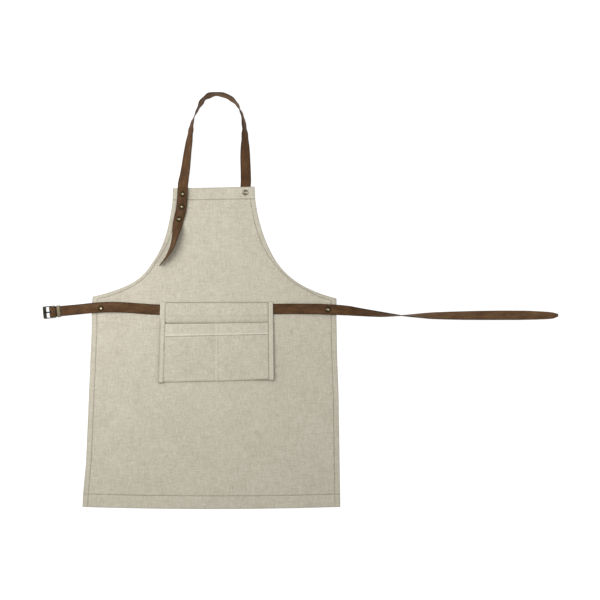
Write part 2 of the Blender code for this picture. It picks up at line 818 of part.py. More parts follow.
def curve_mesh(name, data, points, closed):
    """The mesh of a curve through the points, which are in millimetres."""
    line = data.splines.new("POLY")
    line.points.add(len(points) - 1)
    for point, place in zip(line.points, points):
        point.co = (*(Vector(place) * MM), 1.0)
    line.use_cyclic_u = closed
    guide = bpy.data.objects.new(name, data)
    PARTS.objects.link(guide)
    bpy.context.view_layer.update()
    mesh = bpy.data.meshes.new_from_object(guide.evaluated_get(bpy.context.evaluated_depsgraph_get()))
    bpy.data.objects.remove(guide, do_unlink=True)
    bm = bmesh.new()
    bm.from_mesh(mesh)
    bmesh.ops.remove_doubles(bm, verts=bm.verts, dist=0.001 * MM)
    bm.to_mesh(mesh)
    bm.free()
    mesh.name = name
    return mesh


def rounded_plate(name, x0, x1, half, thickness, corner, finish):
    """A flat plate with rounded corners from a filled 2D outline, centred on z = 0."""
    data = bpy.data.curves.new(name, "CURVE")
    data.dimensions = "2D"
    data.fill_mode = "BOTH"
    data.extrude = 0.5 * thickness * MM
    centres = (
        (x1 - corner, half - corner, 0),
        (x0 + corner, half - corner, 90),
        (x0 + corner, corner - half, 180),
        (x1 - corner, corner - half, 270),
    )
    points = []
    for cx, cy, start in centres:
        for k in range(5):
            angle = math.radians(start + 22.5 * k)
            points.append((cx + corner * math.cos(angle), cy + corner * math.sin(angle), 0.0))
    return add_object(name, curve_mesh(name, data, points, True), finish)


def make_buckle():
    half = BUCKLE_WIDTH / 2
    frame = rounded_plate("buckle_frame", FRONT_EDGE, REAR_EDGE, half, BUCKLE_PLATE, 3.5, "dark_metal")
    lift = Matrix.Translation((0.0, 0.0, BAR_DROP * MM))
    frame.matrix_world = buckle_matrix() @ lift
    front = FRONT_EDGE + FRONT_BAR
    rear = REAR_EDGE - REAR_BAR
    window = rounded_plate("buckle_window", front, rear, half - RAIL, 8.0, 1.2, None)
    window.matrix_world = frame.matrix_world
    cut(frame, window)
    bm = bmesh.new()
    bmesh.ops.create_cone(
        bm, cap_ends=True, segments=12, radius1=BAR_R * MM, radius2=BAR_R * MM,
        depth=(BUCKLE_WIDTH - RAIL) * MM,
    )
    mesh = bpy.data.meshes.new("centre_bar")
    bm.to_mesh(mesh)
    bm.free()
    bar = add_object("centre_bar", mesh)
    bar.matrix_world = buckle_matrix() @ Matrix.Rotation(math.radians(90.0), 4, "X")
    cut(frame, bar, "UNION")


def tube(name, points, radius, finish):
    """A round wire along the points, closed at both ends."""
    data = bpy.data.curves.new(name, "CURVE")
    data.dimensions = "3D"
    data.bevel_depth = radius * MM
    data.bevel_resolution = 2
    data.use_fill_caps = True
    return add_object(name, curve_mesh(name, data, points, False), finish)


def make_prong():
    """The prong: hooked round the centre bar, its point lying on the front bar."""
    hoop = BAR_R + GAP + PRONG_R
    points = []
    for k in range(13):
        angle = math.radians(-175.0 + 22.0 * k)
        points.append((hoop * math.cos(angle), 0.0, hoop * math.sin(angle)))
    tip_z = BAR_DROP + 0.5 * BUCKLE_PLATE + GAP + PRONG_R
    points += [(-4.5, 0.0, 3.6), (-10.0, 0.0, tip_z), (FRONT_EDGE + 2.0, 0.0, tip_z)]
    prong = tube("buckle_prong", points, PRONG_R, "dark_metal")
    prong.matrix_world = buckle_matrix()


def make_keeper():
    """The loop that holds the strap's free layer down, next to the buckle."""
    inner_half = 0.5 * STRAP_WIDTH + KEEPER_EASE
    half_height = 0.5 * KEEPER_TOP
    outer = rounded_plate(
        "keeper_loop", -half_height, half_height, inner_half + KEEPER_WALL, KEEPER_LENGTH, 1.6,
        "antique_brass",
    )
    inside = rounded_plate(
        "keeper_inside", KEEPER_FLOOR - half_height, half_height - KEEPER_WALL, inner_half,
        KEEPER_LENGTH + 4.0, 0.9, None,
    )
    middle = Vector((KEEPER_X, belt_left_course(KEEPER_X), half_height))
    stand = Matrix.Rotation(BUCKLE_TURN, 4, "Z") @ Matrix.Rotation(math.radians(-90.0), 4, "Y")
    for obj in (outer, inside):
        obj.matrix_world = Matrix.Translation(middle * MM) @ stand
    cut(outer, inside)


def main():
    make_canvas()
    make_pocket()
    make_neck_strap()
    make_belt()
    make_fasteners()
    make_buckle()
    make_prong()
    make_keeper()


main()
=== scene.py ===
"""Looks of the canvas apron: woven cloth, leather straps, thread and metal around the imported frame.

Lengths are in millimetres in this script and become metres where a mesh is made. The axes are the
frame's: +X right, +Y towards the bib, +Z up from the table.
"""

import math

import bmesh
import bpy
import numpy as np
from mathutils import Matrix, Vector, noise


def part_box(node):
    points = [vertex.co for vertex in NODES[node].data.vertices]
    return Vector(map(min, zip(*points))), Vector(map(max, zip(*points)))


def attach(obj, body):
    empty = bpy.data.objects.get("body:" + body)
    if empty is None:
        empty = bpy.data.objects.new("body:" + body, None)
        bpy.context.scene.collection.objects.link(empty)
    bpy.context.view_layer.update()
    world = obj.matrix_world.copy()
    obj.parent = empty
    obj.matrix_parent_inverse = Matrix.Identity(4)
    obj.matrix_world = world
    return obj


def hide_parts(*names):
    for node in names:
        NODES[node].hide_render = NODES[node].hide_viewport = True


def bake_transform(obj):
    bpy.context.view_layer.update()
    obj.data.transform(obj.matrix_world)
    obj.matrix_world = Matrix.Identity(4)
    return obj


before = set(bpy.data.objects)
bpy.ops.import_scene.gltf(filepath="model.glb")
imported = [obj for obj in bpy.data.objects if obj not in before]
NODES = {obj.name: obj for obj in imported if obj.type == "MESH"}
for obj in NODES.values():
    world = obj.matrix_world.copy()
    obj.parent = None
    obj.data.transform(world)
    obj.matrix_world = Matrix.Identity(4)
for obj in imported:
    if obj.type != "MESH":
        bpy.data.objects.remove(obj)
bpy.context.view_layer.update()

MM = 0.001


def box_mm(node):
    """Lowest and highest corner of a CAD node, in millimetres."""
    low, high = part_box(node)
    return low / MM, high / MM


def smooth(t):
    """0 below t = 0, 1 above t = 1, and an eased step between them."""
    t = min(max(t, 0.0), 1.0)
    return t * t * (3.0 - 2.0 * t)


def bump(t):
    """1 at t = 0, easing down to 0 at 1 on either side."""
    return smooth(1.0 - abs(t))


def ridge(distance, width):
    """1 at no distance, falling off to next to nothing at two widths."""
    return math.exp(-((distance / width) ** 2))


def turned(degrees, radius=1.0):
    """The point at an angle on a circle, as (along, up)."""
    return radius * math.cos(math.radians(degrees)), radius * math.sin(math.radians(degrees))


# Sizes of the canvas, as in the frame ------------------------------------------
CLOTH = 1.0
PANEL_TOP = box_mm("canvas_panel")[0].z + CLOTH
CENTRE_X = -230.0
BIB_TOP = 299.0
BIB_HALF = 108.7
BIB_FOOT = 267.0
BIB_FOOT_HALF = 109.7
WAIST_Y = 6.9
WAIST_HALF = 324.0
HEM_Y = -549.0
HEM_HALF = 340.2
HEM_SAG = 5.5
WAIST_SHIFT = 1.5
SKIRT_LEAN = 7.6
BIB_SLOPE = 0.018
WAIST_SLOPE = -0.0075
ARMHOLE = ((BIB_FOOT_HALF, BIB_FOOT), (128.0, 119.0), (173.0, 44.0), (WAIST_HALF, WAIST_Y))
BIB_HEM = BIB_TOP - BIB_FOOT
BOTTOM_HEM = 34.5
SIDE_HEM = 14.0
BIB_SIDE_HEM = 12.5
BAND_EDGE = 4.0  # from the bib's side to the row that closes the ends of its top hem
MITRE = 9.4  # height over which the armhole's seam turns into the side's

# Places on the straps ----------------------------------------------------------
STRAP_WIDTH = 27.5
LEATHER = 2.5
BIB_SNAP = (-312.8, 281.0)
TAIL_SNAPS = ((-315.7, 247.4), (-322.8, 214.8))
RIVET = (-146.3, 285.0)
BELT_SNAP_LEFT = (-529.4, -21.0)
BELT_SNAP_RIGHT = (72.5, -24.6)
BIB_SNAP_RAISE = 1.3
RIVET_RAISE = 3.9

# Pocket ------------------------------------------------------------------------
POCKET_X = -222.5
POCKET_HALF = 149.5
FLARE_LEFT = 6.0
FLARE_RIGHT = 2.4
POCKET_SLOPE = 0.023
TUNNEL_TOP = -5.3
TUNNEL_BOTTOM = -43.0
POCKET_MOUTH = -60.3
POCKET_BOTTOM = -214.5
MOUTH_HEM = 33.0
BAND_WIDTH = 14.6
BACKING_Z = box_mm("pocket_backing")[0].z
FRONT_Z = BACKING_Z + CLOTH + 1.4
TUNNEL_Z = BACKING_Z + LEATHER + 0.3


# Materials ---------------------------------------------------------------------
PER_METRE = (1000.0, 1000.0, 1000.0)
WEAVE = 0.9  # from one thread of the canvas to the next


class Nodes:
    """A node material being built: the tree, its shader and a few short ways to add nodes."""

    def __init__(self, name):
        self.mat = bpy.data.materials.new(name)
        self.mat.use_nodes = True
        self.tree = self.mat.node_tree
        self.shader = self.tree.nodes["Principled BSDF"]

    def link(self, source, target):
        self.tree.links.new(source, target)

    def feed(self, socket, value):
        """Set a socket to a number or a colour, or link it to another node's output."""
        if isinstance(value, (int, float)):
            socket.default_value = value
        elif isinstance(value, tuple):
            socket.default_value = (*value, 1.0)
        else:
            self.link(value, socket)

    def add(self, kind, **settings):
        node = self.tree.nodes.new(kind)
        for key, value in settings.items():
            setattr(node, key, value)
        return node

    def attribute(self, name):
        return self.add("ShaderNodeAttribute", attribute_name=name).outputs["Vector"]

    def place(self):
        return self.add("ShaderNodeTexCoord").outputs["Object"]

    def scaled(self, vector, scale):
        node = self.add("ShaderNodeVectorMath", operation="MULTIPLY")
        self.link(vector, node.inputs[0])
        node.inputs[1].default_value = scale
        return node.outputs[0]

    def noise(self, vector, scale, detail=2.0, roughness=0.5):
        node = self.add("ShaderNodeTexNoise")
        self.link(vector, node.inputs["Vector"])
        node.inputs["Scale"].default_value = scale
        node.inputs["Detail"].default_value = detail
        node.inputs["Roughness"].default_value = roughness
        return node.outputs["Fac"]

    def math(self, operation, a, b=None, c=None):
        node = self.add("ShaderNodeMath", operation=operation)
        for socket, value in zip(node.inputs, (a, b, c)):
            if value is not None:
                self.feed(socket, value)
        return node.outputs[0]

    def total(self, first, *rest):
        """The sum of values, each given as (value, how much of it)."""
        out = self.math("MULTIPLY", *first)
        for part in rest:
            out = self.math("ADD", out, self.math("MULTIPLY", *part))
        return out

    def spread(self, value, low, high, to_low=0.0, to_high=1.0):
        node = self.add("ShaderNodeMapRange", clamp=True)
        self.link(value, node.inputs["Value"])
        for key, number in zip(("From Min", "From Max", "To Min", "To Max"), (low, high, to_low, to_high)):
            node.inputs[key].default_value = number
        return node.outputs[0]

    def ramp(self, value, stops):
        node = self.add("ShaderNodeValToRGB")
        self.link(value, node.inputs[0])
        elements = node.color_ramp.elements
        while len(elements) < len(stops):
            elements.new(0.5)
        for element, (position, colour) in zip(elements, stops):
            element.position = position
            element.color = (*colour, 1.0)
        return node.outputs[0]

    def mix(self, share, a, b, blend="MIX"):
        node = self.add("ShaderNodeMix", data_type="RGBA", blend_type=blend)
        for socket, value in zip((node.inputs[0], node.inputs[6], node.inputs[7]), (share, a, b)):
            self.feed(socket, value)
        return node.outputs[2]

    def tinted(self, colour, mark, much, tint):
        """The colour, going over into the tint where a mark from 0 to 1 says so: real marks, painted shade
        or painted highlights.
        """
        return self.mix(self.math("MULTIPLY", mark, much), colour, tint)

    def axes(self, vector):
        node = self.add("ShaderNodeSeparateXYZ")
        self.link(vector, node.inputs[0])
        return node.outputs

    def bump(self, height, strength, distance, below=None):
        node = self.add("ShaderNodeBump")
        self.link(height, node.inputs["Height"])
        node.inputs["Strength"].default_value = strength
        node.inputs["Distance"].default_value = distance
        if below is not None:
            self.link(below, node.inputs["Normal"])
        return node.outputs[0]

    def set(self, **values):
        for key, value in values.items():
            self.feed(self.shader.inputs[key.replace("_", " ")], value)
        return self.mat


def canvas_material(name, source):
    """Washed cotton canvas: plain weave with slubs, specks and an uneven tone, with painted shade in its
    seams, at its turned edges and in the pocket's mouth, and paler along ridges, mostly as painted
    highlights.

    source names the attribute that holds the points' places at rest, for cloth that bends.
    """
    n = Nodes(name)
    vector = n.attribute(source) if source else n.place()
    mm = n.scaled(vector, PER_METRE)
    x, y, _ = n.axes(mm)
    thread = 2.0 * math.pi / WEAVE
    warp = n.math("SINE", n.math("MULTIPLY", x, thread))
    weft = n.math("SINE", n.math("MULTIPLY", y, thread))
    weave = n.math("MULTIPLY", warp, weft)
    across = n.noise(n.scaled(mm, (0.045, 0.8, 1.0)), 1.0, 2.0)
    along = n.noise(n.scaled(mm, (0.8, 0.045, 1.0)), 1.0, 2.0)
    slubs = n.math("ADD", across, along)
    grain = n.noise(mm, 0.40, 3.0, 0.75)
    washed = n.noise(n.scaled(mm, (0.15, 0.13, 1.0)), 1.0, 3.0, 0.6)
    cloud = n.noise(mm, 0.05, 3.0)
    broad = n.noise(mm, 0.011, 2.0)
    tone = n.math("MULTIPLY_ADD", slubs, 0.90, -0.90)
    for part, much in ((grain, 1.60), (washed, 0.55), (cloud, 0.26), (broad, 0.25)):
        tone = n.math("ADD", tone, n.math("MULTIPLY_ADD", part, much, -much / 2))
    tone = n.math("ADD", tone, n.math("MULTIPLY", weave, 0.06))
    tone = n.math("ADD", tone, 0.5)
    colour = n.ramp(tone, (
        (0.0, (0.385, 0.348, 0.272)), (0.5, (0.520, 0.481, 0.388)), (1.0, (0.630, 0.594, 0.497)),
    ))
    speck = n.spread(n.noise(mm, 0.9, 1.0), 0.74, 0.80)
    colour = n.tinted(colour, speck, 0.35, (0.26, 0.21, 0.14))
    # Painted light from the cloth's points: the first channel is painted shade along seams and in the
    # pocket's mouth, the second painted shade at turned edges and on the bands' outer walls, the third
    # mostly painted highlights along ridges and lips.
    seam, rim, lightened = n.axes(n.attribute("seam"))
    # Pale colour of the painted highlights along ridges and lips, and of the bands' paler tone.
    colour = n.tinted(colour, lightened, 0.5, (0.72, 0.69, 0.60))
    # Painted shade along seams and in the pocket's mouth.
    colour = n.tinted(colour, seam, 0.42, (0.20, 0.18, 0.135))
    # Painted shade at turned edges.
    colour = n.tinted(colour, rim, 0.60, (0.27, 0.255, 0.215))
    height = n.total((weave, 0.5), (slubs, 1.2))
    low = n.bump(grain, 0.30, 0.0007)
    normal = n.bump(height, 0.35, 0.00018, low)
    return n.set(Base_Color=colour, Roughness=0.92, Sheen_Weight=0.08, Sheen_Roughness=0.5,
                 Specular_IOR_Level=0.15, Normal=normal)


def thread_material(name, dark, pale):
    """Twisted cotton thread."""
    n = Nodes(name)
    mm = n.scaled(n.place(), PER_METRE)
    twist = n.noise(mm, 1.6, 2.0)
    colour = n.ramp(twist, ((0.3, dark), (0.7, pale)))
    return n.set(Base_Color=colour, Roughness=0.75, Sheen_Weight=0.1, Normal=n.bump(twist, 0.4, 0.0002))


def leather_material():
    """Oiled brown leather: cloudy tone, fine pores, dark burnished edges, a duller flesh side, and darker
    places across the strap, on the belt as painted shade.
    """
    n = Nodes("leather")
    along, across, face = n.axes(n.attribute("strap"))
    flat = n.add("ShaderNodeCombineXYZ")
    n.link(along, flat.inputs[0])
    n.link(n.math("MULTIPLY", across, STRAP_WIDTH / 2), flat.inputs[1])
    n.link(n.math("MULTIPLY", face, 9.0), flat.inputs[2])
    mm = flat.outputs[0]
    cloud = n.noise(n.scaled(mm, (0.028, 0.075, 1.0)), 1.0, 4.0, 0.6)
    streak = n.noise(n.scaled(mm, (0.10, 0.55, 1.0)), 1.0, 3.0, 0.6)
    grain = n.noise(mm, 0.8, 4.0, 0.7)
    tone = n.total((cloud, 0.55), (streak, 0.25), (grain, 0.22))
    colour = n.ramp(tone, (
        (0.34, (0.044, 0.020, 0.0075)), (0.52, (0.088, 0.043, 0.0172)), (0.70, (0.155, 0.081, 0.036)),
    ))
    flesh = n.ramp(tone, (
        (0.34, (0.062, 0.032, 0.014)), (0.52, (0.116, 0.061, 0.028)), (0.70, (0.172, 0.098, 0.048)),
    ))
    under = n.spread(face, -0.4, 0.4, 1.0, 0.0)
    colour = n.mix(under, colour, flesh)
    distance = n.math("ABSOLUTE", across)
    ragged = n.math("ADD", distance, n.math("MULTIPLY_ADD", streak, 0.10, -0.05))
    edge = n.spread(ragged, 0.76, 0.96)
    colour = n.tinted(colour, edge, 0.78, (0.034, 0.016, 0.007))
    # Places painted darker across the strap: painted shade by the belt's fold and at the tunnel's mouth, a
    # darker tone on the neck strap's tail.
    dark, _, _ = n.axes(n.attribute("dark"))
    colour = n.tinted(colour, dark, 0.8, (0.034, 0.018, 0.008))
    scuff = n.spread(n.noise(n.scaled(mm, (0.35, 1.6, 1.0)), 1.0, 3.0, 0.7), 0.62, 0.74)
    colour = n.tinted(colour, scuff, 0.22, (0.24, 0.145, 0.08))
    pores = n.add("ShaderNodeTexVoronoi")
    n.link(mm, pores.inputs["Vector"])
    pores.inputs["Scale"].default_value = 1.1
    pits = n.bump(pores.outputs["Distance"], 0.35, 0.00025)
    normal = n.bump(n.math("ADD", grain, n.math("MULTIPLY", cloud, 2.0)), 0.35, 0.0004, pits)
    rough = n.spread(tone, 0.3, 0.75, 0.70, 0.52)
    return n.set(Base_Color=colour, Roughness=rough, Specular_IOR_Level=0.12, Normal=normal)


def metal_material(name, dark, bright, lightened=0.5, rough=(0.5, 0.28)):
    """Patinated metal: dark in general, brighter where it has been rubbed."""
    n = Nodes(name)
    mm = n.scaled(n.place(), PER_METRE)
    patches = n.noise(mm, 0.45, 4.0, 0.65)
    scratches = n.noise(n.scaled(mm, (0.4, 4.0, 1.0)), 1.0, 3.0, 0.7)
    rubbed = n.total((patches, 0.7), (scratches, 0.3))
    share = n.spread(rubbed, 0.62 - 0.3 * lightened, 0.85 - 0.3 * lightened)
    colour = n.mix(share, dark, bright)
    roughness = n.spread(share, 0.0, 1.0, *rough)
    return n.set(Base_Color=colour, Metallic=1.0, Roughness=roughness,
                 Normal=n.bump(scratches, 0.12, 0.0002))


CANVAS = canvas_material("canvas", None)
CANVAS_FLEX = canvas_material("canvas_flex", "rest")
THREAD = thread_material("thread", (0.15, 0.13, 0.095), (0.27, 0.235, 0.175))
THREAD_PALE = thread_material("thread_pale", (0.50, 0.46, 0.37), (0.66, 0.62, 0.53))
THREAD_DARK = thread_material("thread_dark", (0.028, 0.020, 0.012), (0.060, 0.043, 0.026))
LEATHER_MAT = leather_material()
BRASS = metal_material("antique_brass", (0.050, 0.036, 0.018), (0.16, 0.115, 0.058), 0.4, (0.5, 0.34))
BRASS_BRIGHT = metal_material("rubbed_brass", (0.26, 0.205, 0.125), (0.58, 0.49, 0.34), 0.7, (0.22, 0.14))
KEEPER_BRASS = metal_material("keeper_brass", (0.115, 0.098, 0.062), (0.30, 0.255, 0.165), 0.5,
                              (0.55, 0.38))
NICKEL = metal_material("nickel", (0.19, 0.165, 0.12), (0.42, 0.375, 0.29), 0.6, (0.45, 0.3))
NICKEL_BRIGHT = metal_material("rubbed_nickel", (0.32, 0.28, 0.21), (0.52, 0.47, 0.38), 0.7, (0.36, 0.26))
IRON = metal_material("dark_metal", (0.013, 0.012, 0.009), (0.125, 0.116, 0.088), 0.45, (0.5, 0.36))
PRONG_IRON = metal_material("prong_metal", (0.012, 0.010, 0.008), (0.060, 0.052, 0.040), 0.45, (0.72, 0.6))


# Meshes ------------------------------------------------------------------------
def placed(name, data, place=None):
    """A new object of the scene that shows the data."""
    obj = bpy.data.objects.new(name, data)
    bpy.context.scene.collection.objects.link(obj)
    if place is not None:
        obj.matrix_world = place
    return obj


def new_object(name, verts, faces, mat, attributes=None, place=None):
    """A mesh object from points in millimetres; attributes are (name, vectors) on the points."""
    mesh = bpy.data.meshes.new(name)
    mesh.from_pydata([(x * MM, y * MM, z * MM) for x, y, z in verts], [], faces)
    for key, values in (attributes or {}).items():
        layer = mesh.attributes.new(key, "FLOAT_VECTOR", "POINT")
        layer.data.foreach_set("vector", np.asarray(values, np.float32).ravel())
    mesh.shade_smooth()
    mesh.update()
    mesh.materials.append(mat)
    return placed(name, mesh, place)


def tube_faces(rings, size, first=0):
    """Faces of a closed tube: quads between rings of that many points, and one face on each end."""
    faces = []
    for ring in range(rings - 1):
        for k in range(size):
            a = first + ring * size + k
            b = first + ring * size + (k + 1) % size
            faces.append((a, b, b + size, a + size))
    faces.append(tuple(range(first, first + size))[::-1])
    last = first + (rings - 1) * size
    faces.append(tuple(range(last, last + size)))
    return faces


def face_outwards(mesh):
    """Turn the front of every face to the outside."""
    bm = bmesh.new()
    bm.from_mesh(mesh)
    bmesh.ops.recalc_face_normals(bm, faces=bm.faces)
    bm.to_mesh(mesh)
    bm.free()


def apply_modifiers(obj):
    """Replace the object's mesh by what its modifiers make of it."""
    bpy.context.view_layer.update()
    graph = bpy.context.evaluated_depsgraph_get()
    mesh = bpy.data.meshes.new_from_object(obj.evaluated_get(graph))
    obj.modifiers.clear()
    obj.data = mesh
    return obj


def sheet_object(name, rows, mat, thickness):
    """A cloth from rows of upper-side points, each (x, y, z), or with seam, rim and worn after it.

    Its thickness goes down from them; seam and rim, from 0 to 1, tell how much darker the cloth is painted
    there, mostly as painted shade, and the third value how much paler it is painted, mostly as painted
    highlights.
    """
    count = len(rows[0])
    verts = [p[:3] for row in rows for p in row]
    marks = [(*p[3:], 0.0, 0.0, 0.0)[:3] for row in rows for p in row]
    faces = []
    for i in range(len(rows) - 1):
        for j in range(count - 1):
            a = i * count + j
            faces.append((a, a + 1, a + count + 1, a + count))
    rest = [(x * MM, y * MM, z * MM) for x, y, z in verts]
    obj = new_object(name, verts, faces, mat, {"rest": rest, "seam": marks})
    if sum(p.normal.z for p in obj.data.polygons) < 0:
        obj.data.flip_normals()
    mod = obj.modifiers.new("thickness", "SOLIDIFY")
    mod.thickness = thickness * MM
    mod.offset = -1.0
    return apply_modifiers(obj)


def wave(x, y, length, seed):
    """Smooth noise between about -1 and 1 with features of that length."""
    return noise.noise(Vector((x / length, y / length, seed)))


# Canvas ------------------------------------------------------------------------
def armhole(t):
    """A point of the armhole's curve, from the bib at t = 0 to the waist at t = 1."""
    a, b, c, d = (Vector(p) for p in ARMHOLE)
    s = 1.0 - t
    return a * s**3 + b * 3 * s * s * t + c * 3 * s * t * t + d * t**3


def armhole_at(y):
    """The armhole's parameter where it passes a height."""
    low, high = 0.0, 1.0
    for _ in range(30):
        t = 0.5 * (low + high)
        if armhole(t).y > y:
            low = t
        else:
            high = t
    return low


def edge_at(y):
    """Half width of the panel at a height, and how much wider than square-on its seams cross there."""
    if y >= BIB_FOOT:
        rise = (y - BIB_FOOT) / (BIB_TOP - BIB_FOOT)
        return BIB_FOOT_HALF + (BIB_HALF - BIB_FOOT_HALF) * rise, 1.0
    if y > WAIST_Y:
        t = armhole_at(y)
        step = armhole(t + 0.001) - armhole(t - 0.001)
        return armhole(t).x, math.hypot(step.x, step.y) / abs(step.y)
    half = WAIST_HALF + (HEM_HALF - WAIST_HALF) * (WAIST_Y - y) / (WAIST_Y - HEM_Y)
    step = armhole(1.0) - armhole(0.998)
    corner = math.hypot(step.x, step.y) / abs(step.y)
    return half, 1.0 + (corner - 1.0) * max(0.0, 1.0 - (WAIST_Y - y) / MITRE)


def hem_width(side, y):
    """Width of the hem down one side of the bib: it was sewn narrower round the armholes."""
    if y > BIB_FOOT:
        return BAND_EDGE
    if side > 0:
        return BIB_SIDE_HEM - 6.9 * smooth((155.0 - y) / 95.0) + 2.6 * smooth((24.0 - y) / 14.0)
    return BIB_SIDE_HEM - 5.3 * smooth((170.0 - y) / 75.0) + 2.0 * smooth((60.0 - y) / 50.0)


def seam_reach(side, y):
    """How far inside the panel's edge, measured straight across, the side's seam runs at a height."""
    if y >= WAIST_Y:
        return hem_width(side, y) * edge_at(y)[1]
    corner = edge_at(WAIST_Y)[1]
    start = hem_width(side, WAIST_Y) * corner
    mitre = (start - SIDE_HEM) / math.sqrt(corner * corner - 1.0)
    return SIDE_HEM + (start - SIDE_HEM) * max(0.0, 1.0 - (WAIST_Y - y) / mitre)


def drift(offset, y):
    """How far the edges wander sideways from a symmetrical outline."""
    far = smooth(abs(offset) / 150.0)
    if offset > 0.0:
        armhole_out = 3.6 * bump((y - 130.0) / 120.0)
        skirt_out = 2.3 * smooth((-130.0 - y) / 130.0) - 0.7 * smooth(-y / 50.0)
        return far * (armhole_out + skirt_out)
    armhole_in = 7.4 * bump((y - 48.0) / 55.0)
    skirt_in = 2.0 * smooth((-30.0 - y) / 60.0) - 4.4 * smooth((-415.0 - y) / 115.0)
    return far * (armhole_in + skirt_in)


def lay(offset, y):
    """Where the cloth at an offset from its middle and a height lies on the table."""
    wander = offset + drift(offset, y)
    if y > WAIST_Y:
        up = (y - WAIST_Y) / (BIB_TOP - WAIST_Y)
        level = WAIST_SLOPE + (BIB_SLOPE - WAIST_SLOPE) * up
        return CENTRE_X + WAIST_SHIFT * (1.0 - up) + wander, y + level * offset
    down = (WAIST_Y - y) / (WAIST_Y - HEM_Y)
    across = offset / HEM_HALF
    bow = HEM_SAG * (1.0 - across * across) * smooth(1.0 - (y - HEM_Y) / 200.0)
    x = CENTRE_X + WAIST_SHIFT - SKIRT_LEAN * down + wander
    return x, y + WAIST_SLOPE * (1.0 - down) * offset - bow


def raise_at(x, y):
    """How far the bib stands up over the strap's end and the snap's flange."""
    rivet = smooth((52.0 - max(abs(x - RIVET[0]), abs(y - RIVET[1] - 4.0))) / 26.0)
    snap = smooth((27.0 - max(abs(x - BIB_SNAP[0]), abs(y - BIB_SNAP[1]))) / 12.0)
    return RIVET_RAISE * rivet + BIB_SNAP_RAISE * snap


def covered(x, y):
    """1 where the pocket, the belt or a strap lies on the canvas, 0 well away from them."""
    pocket = min(POCKET_HALF + 12.0 - abs(x - POCKET_X), 8.0 - y, y - POCKET_BOTTOM + 10.0)
    belt = 24.0 - abs(y + 24.0)
    tail = min(34.0 - abs(x + 318.0), y - 150.0)
    bib = y - 255.0
    return smooth(max(pocket, belt, tail, bib) / 20.0)


def canvas_height(x, y):
    """Upper side of the canvas without its seams: gentle waves where nothing lies on it."""
    free = 1.0 - covered(x, y)
    waves = 0.75 * wave(x, y, 95.0, 1.7) + 0.35 * wave(x, y, 38.0, 4.1) + 0.12 * wave(x, y, 14.0, 9.3)
    fold = 0.5 * max(0.0, 1.0 - abs(wave(x * 0.6 + y * 0.5, y, 150.0, 2.2)) * 7.0)
    right = x - POCKET_X - POCKET_HALF
    beside = smooth((right + 9.0) / 9.0) * smooth((30.0 - right) / 28.0)
    beside *= smooth((-62.0 - y) / 60.0) * smooth((y - POCKET_BOTTOM + 30.0) / 40.0)
    return PANEL_TOP + raise_at(x, y) + free * (waves + fold - 0.35) + 1.9 * beside


def seam_relief(s, run):
    """Height change at a distance s inside a seam (negative on its hem side), run mm along it."""
    hem = 0.22 * smooth(-s / 2.5) if s < 0 else 0.0
    groove = -0.32 * ridge(s, 0.9)
    pucker = 0.20 * math.exp(-abs(s) / 7.0) * wave(run, 0.0, 7.5, 3.3)
    return hem + groove + pucker


def painted_seam_shade(s, run):
    """Painted shade in a seam's groove: how dark the cloth is painted at a distance from the seam, unevenly
    along its run.
    """
    return ridge(s, 1.25) * (0.75 + 0.35 * wave(run, 0.0, 11.0, 6.6))


HEMS = ["bib_hem", "bottom_hem", "side_hem_left", "side_hem_right",
        "armhole_facing_left", "armhole_facing_right"]
LIP = 1.3  # radius of the turned edge
LIP_TURNS = (0.0, 25.0, 50.0, 70.0, 90.0)
FROM_SEAM = (-4.0, -1.8, -0.8, 0.0, 0.8, 1.8, 4.0, 8.0)  # rows of points beside a seam
FAR = 99.0  # stands for a place well away from any edge


def insets(seam, far):
    """Distances from an edge at which the cloth has a row of points, and how far each lies down."""
    lip = [(LIP - out, LIP - up) for out, up in (turned(a, LIP) for a in LIP_TURNS)]
    flat = sorted(d for d in [3.0, 6.0] + [seam + d for d in FROM_SEAM] if d > LIP + 0.5)
    return lip + [(d, 0.0) for d in flat] + [(far, 0.0)]


CANVAS_ROWS = 132
CANVAS_COLUMNS = 96
BAND_STRENGTH = 0.35  # how much of a seam shows in the row that closes the ends of the bib's top hem
# The bib's seam takes stronger painted shade than the bottom hem's.
BIB_SEAM_SHADE = 1.5  # how much darker than the bottom hem's the bib's seam is


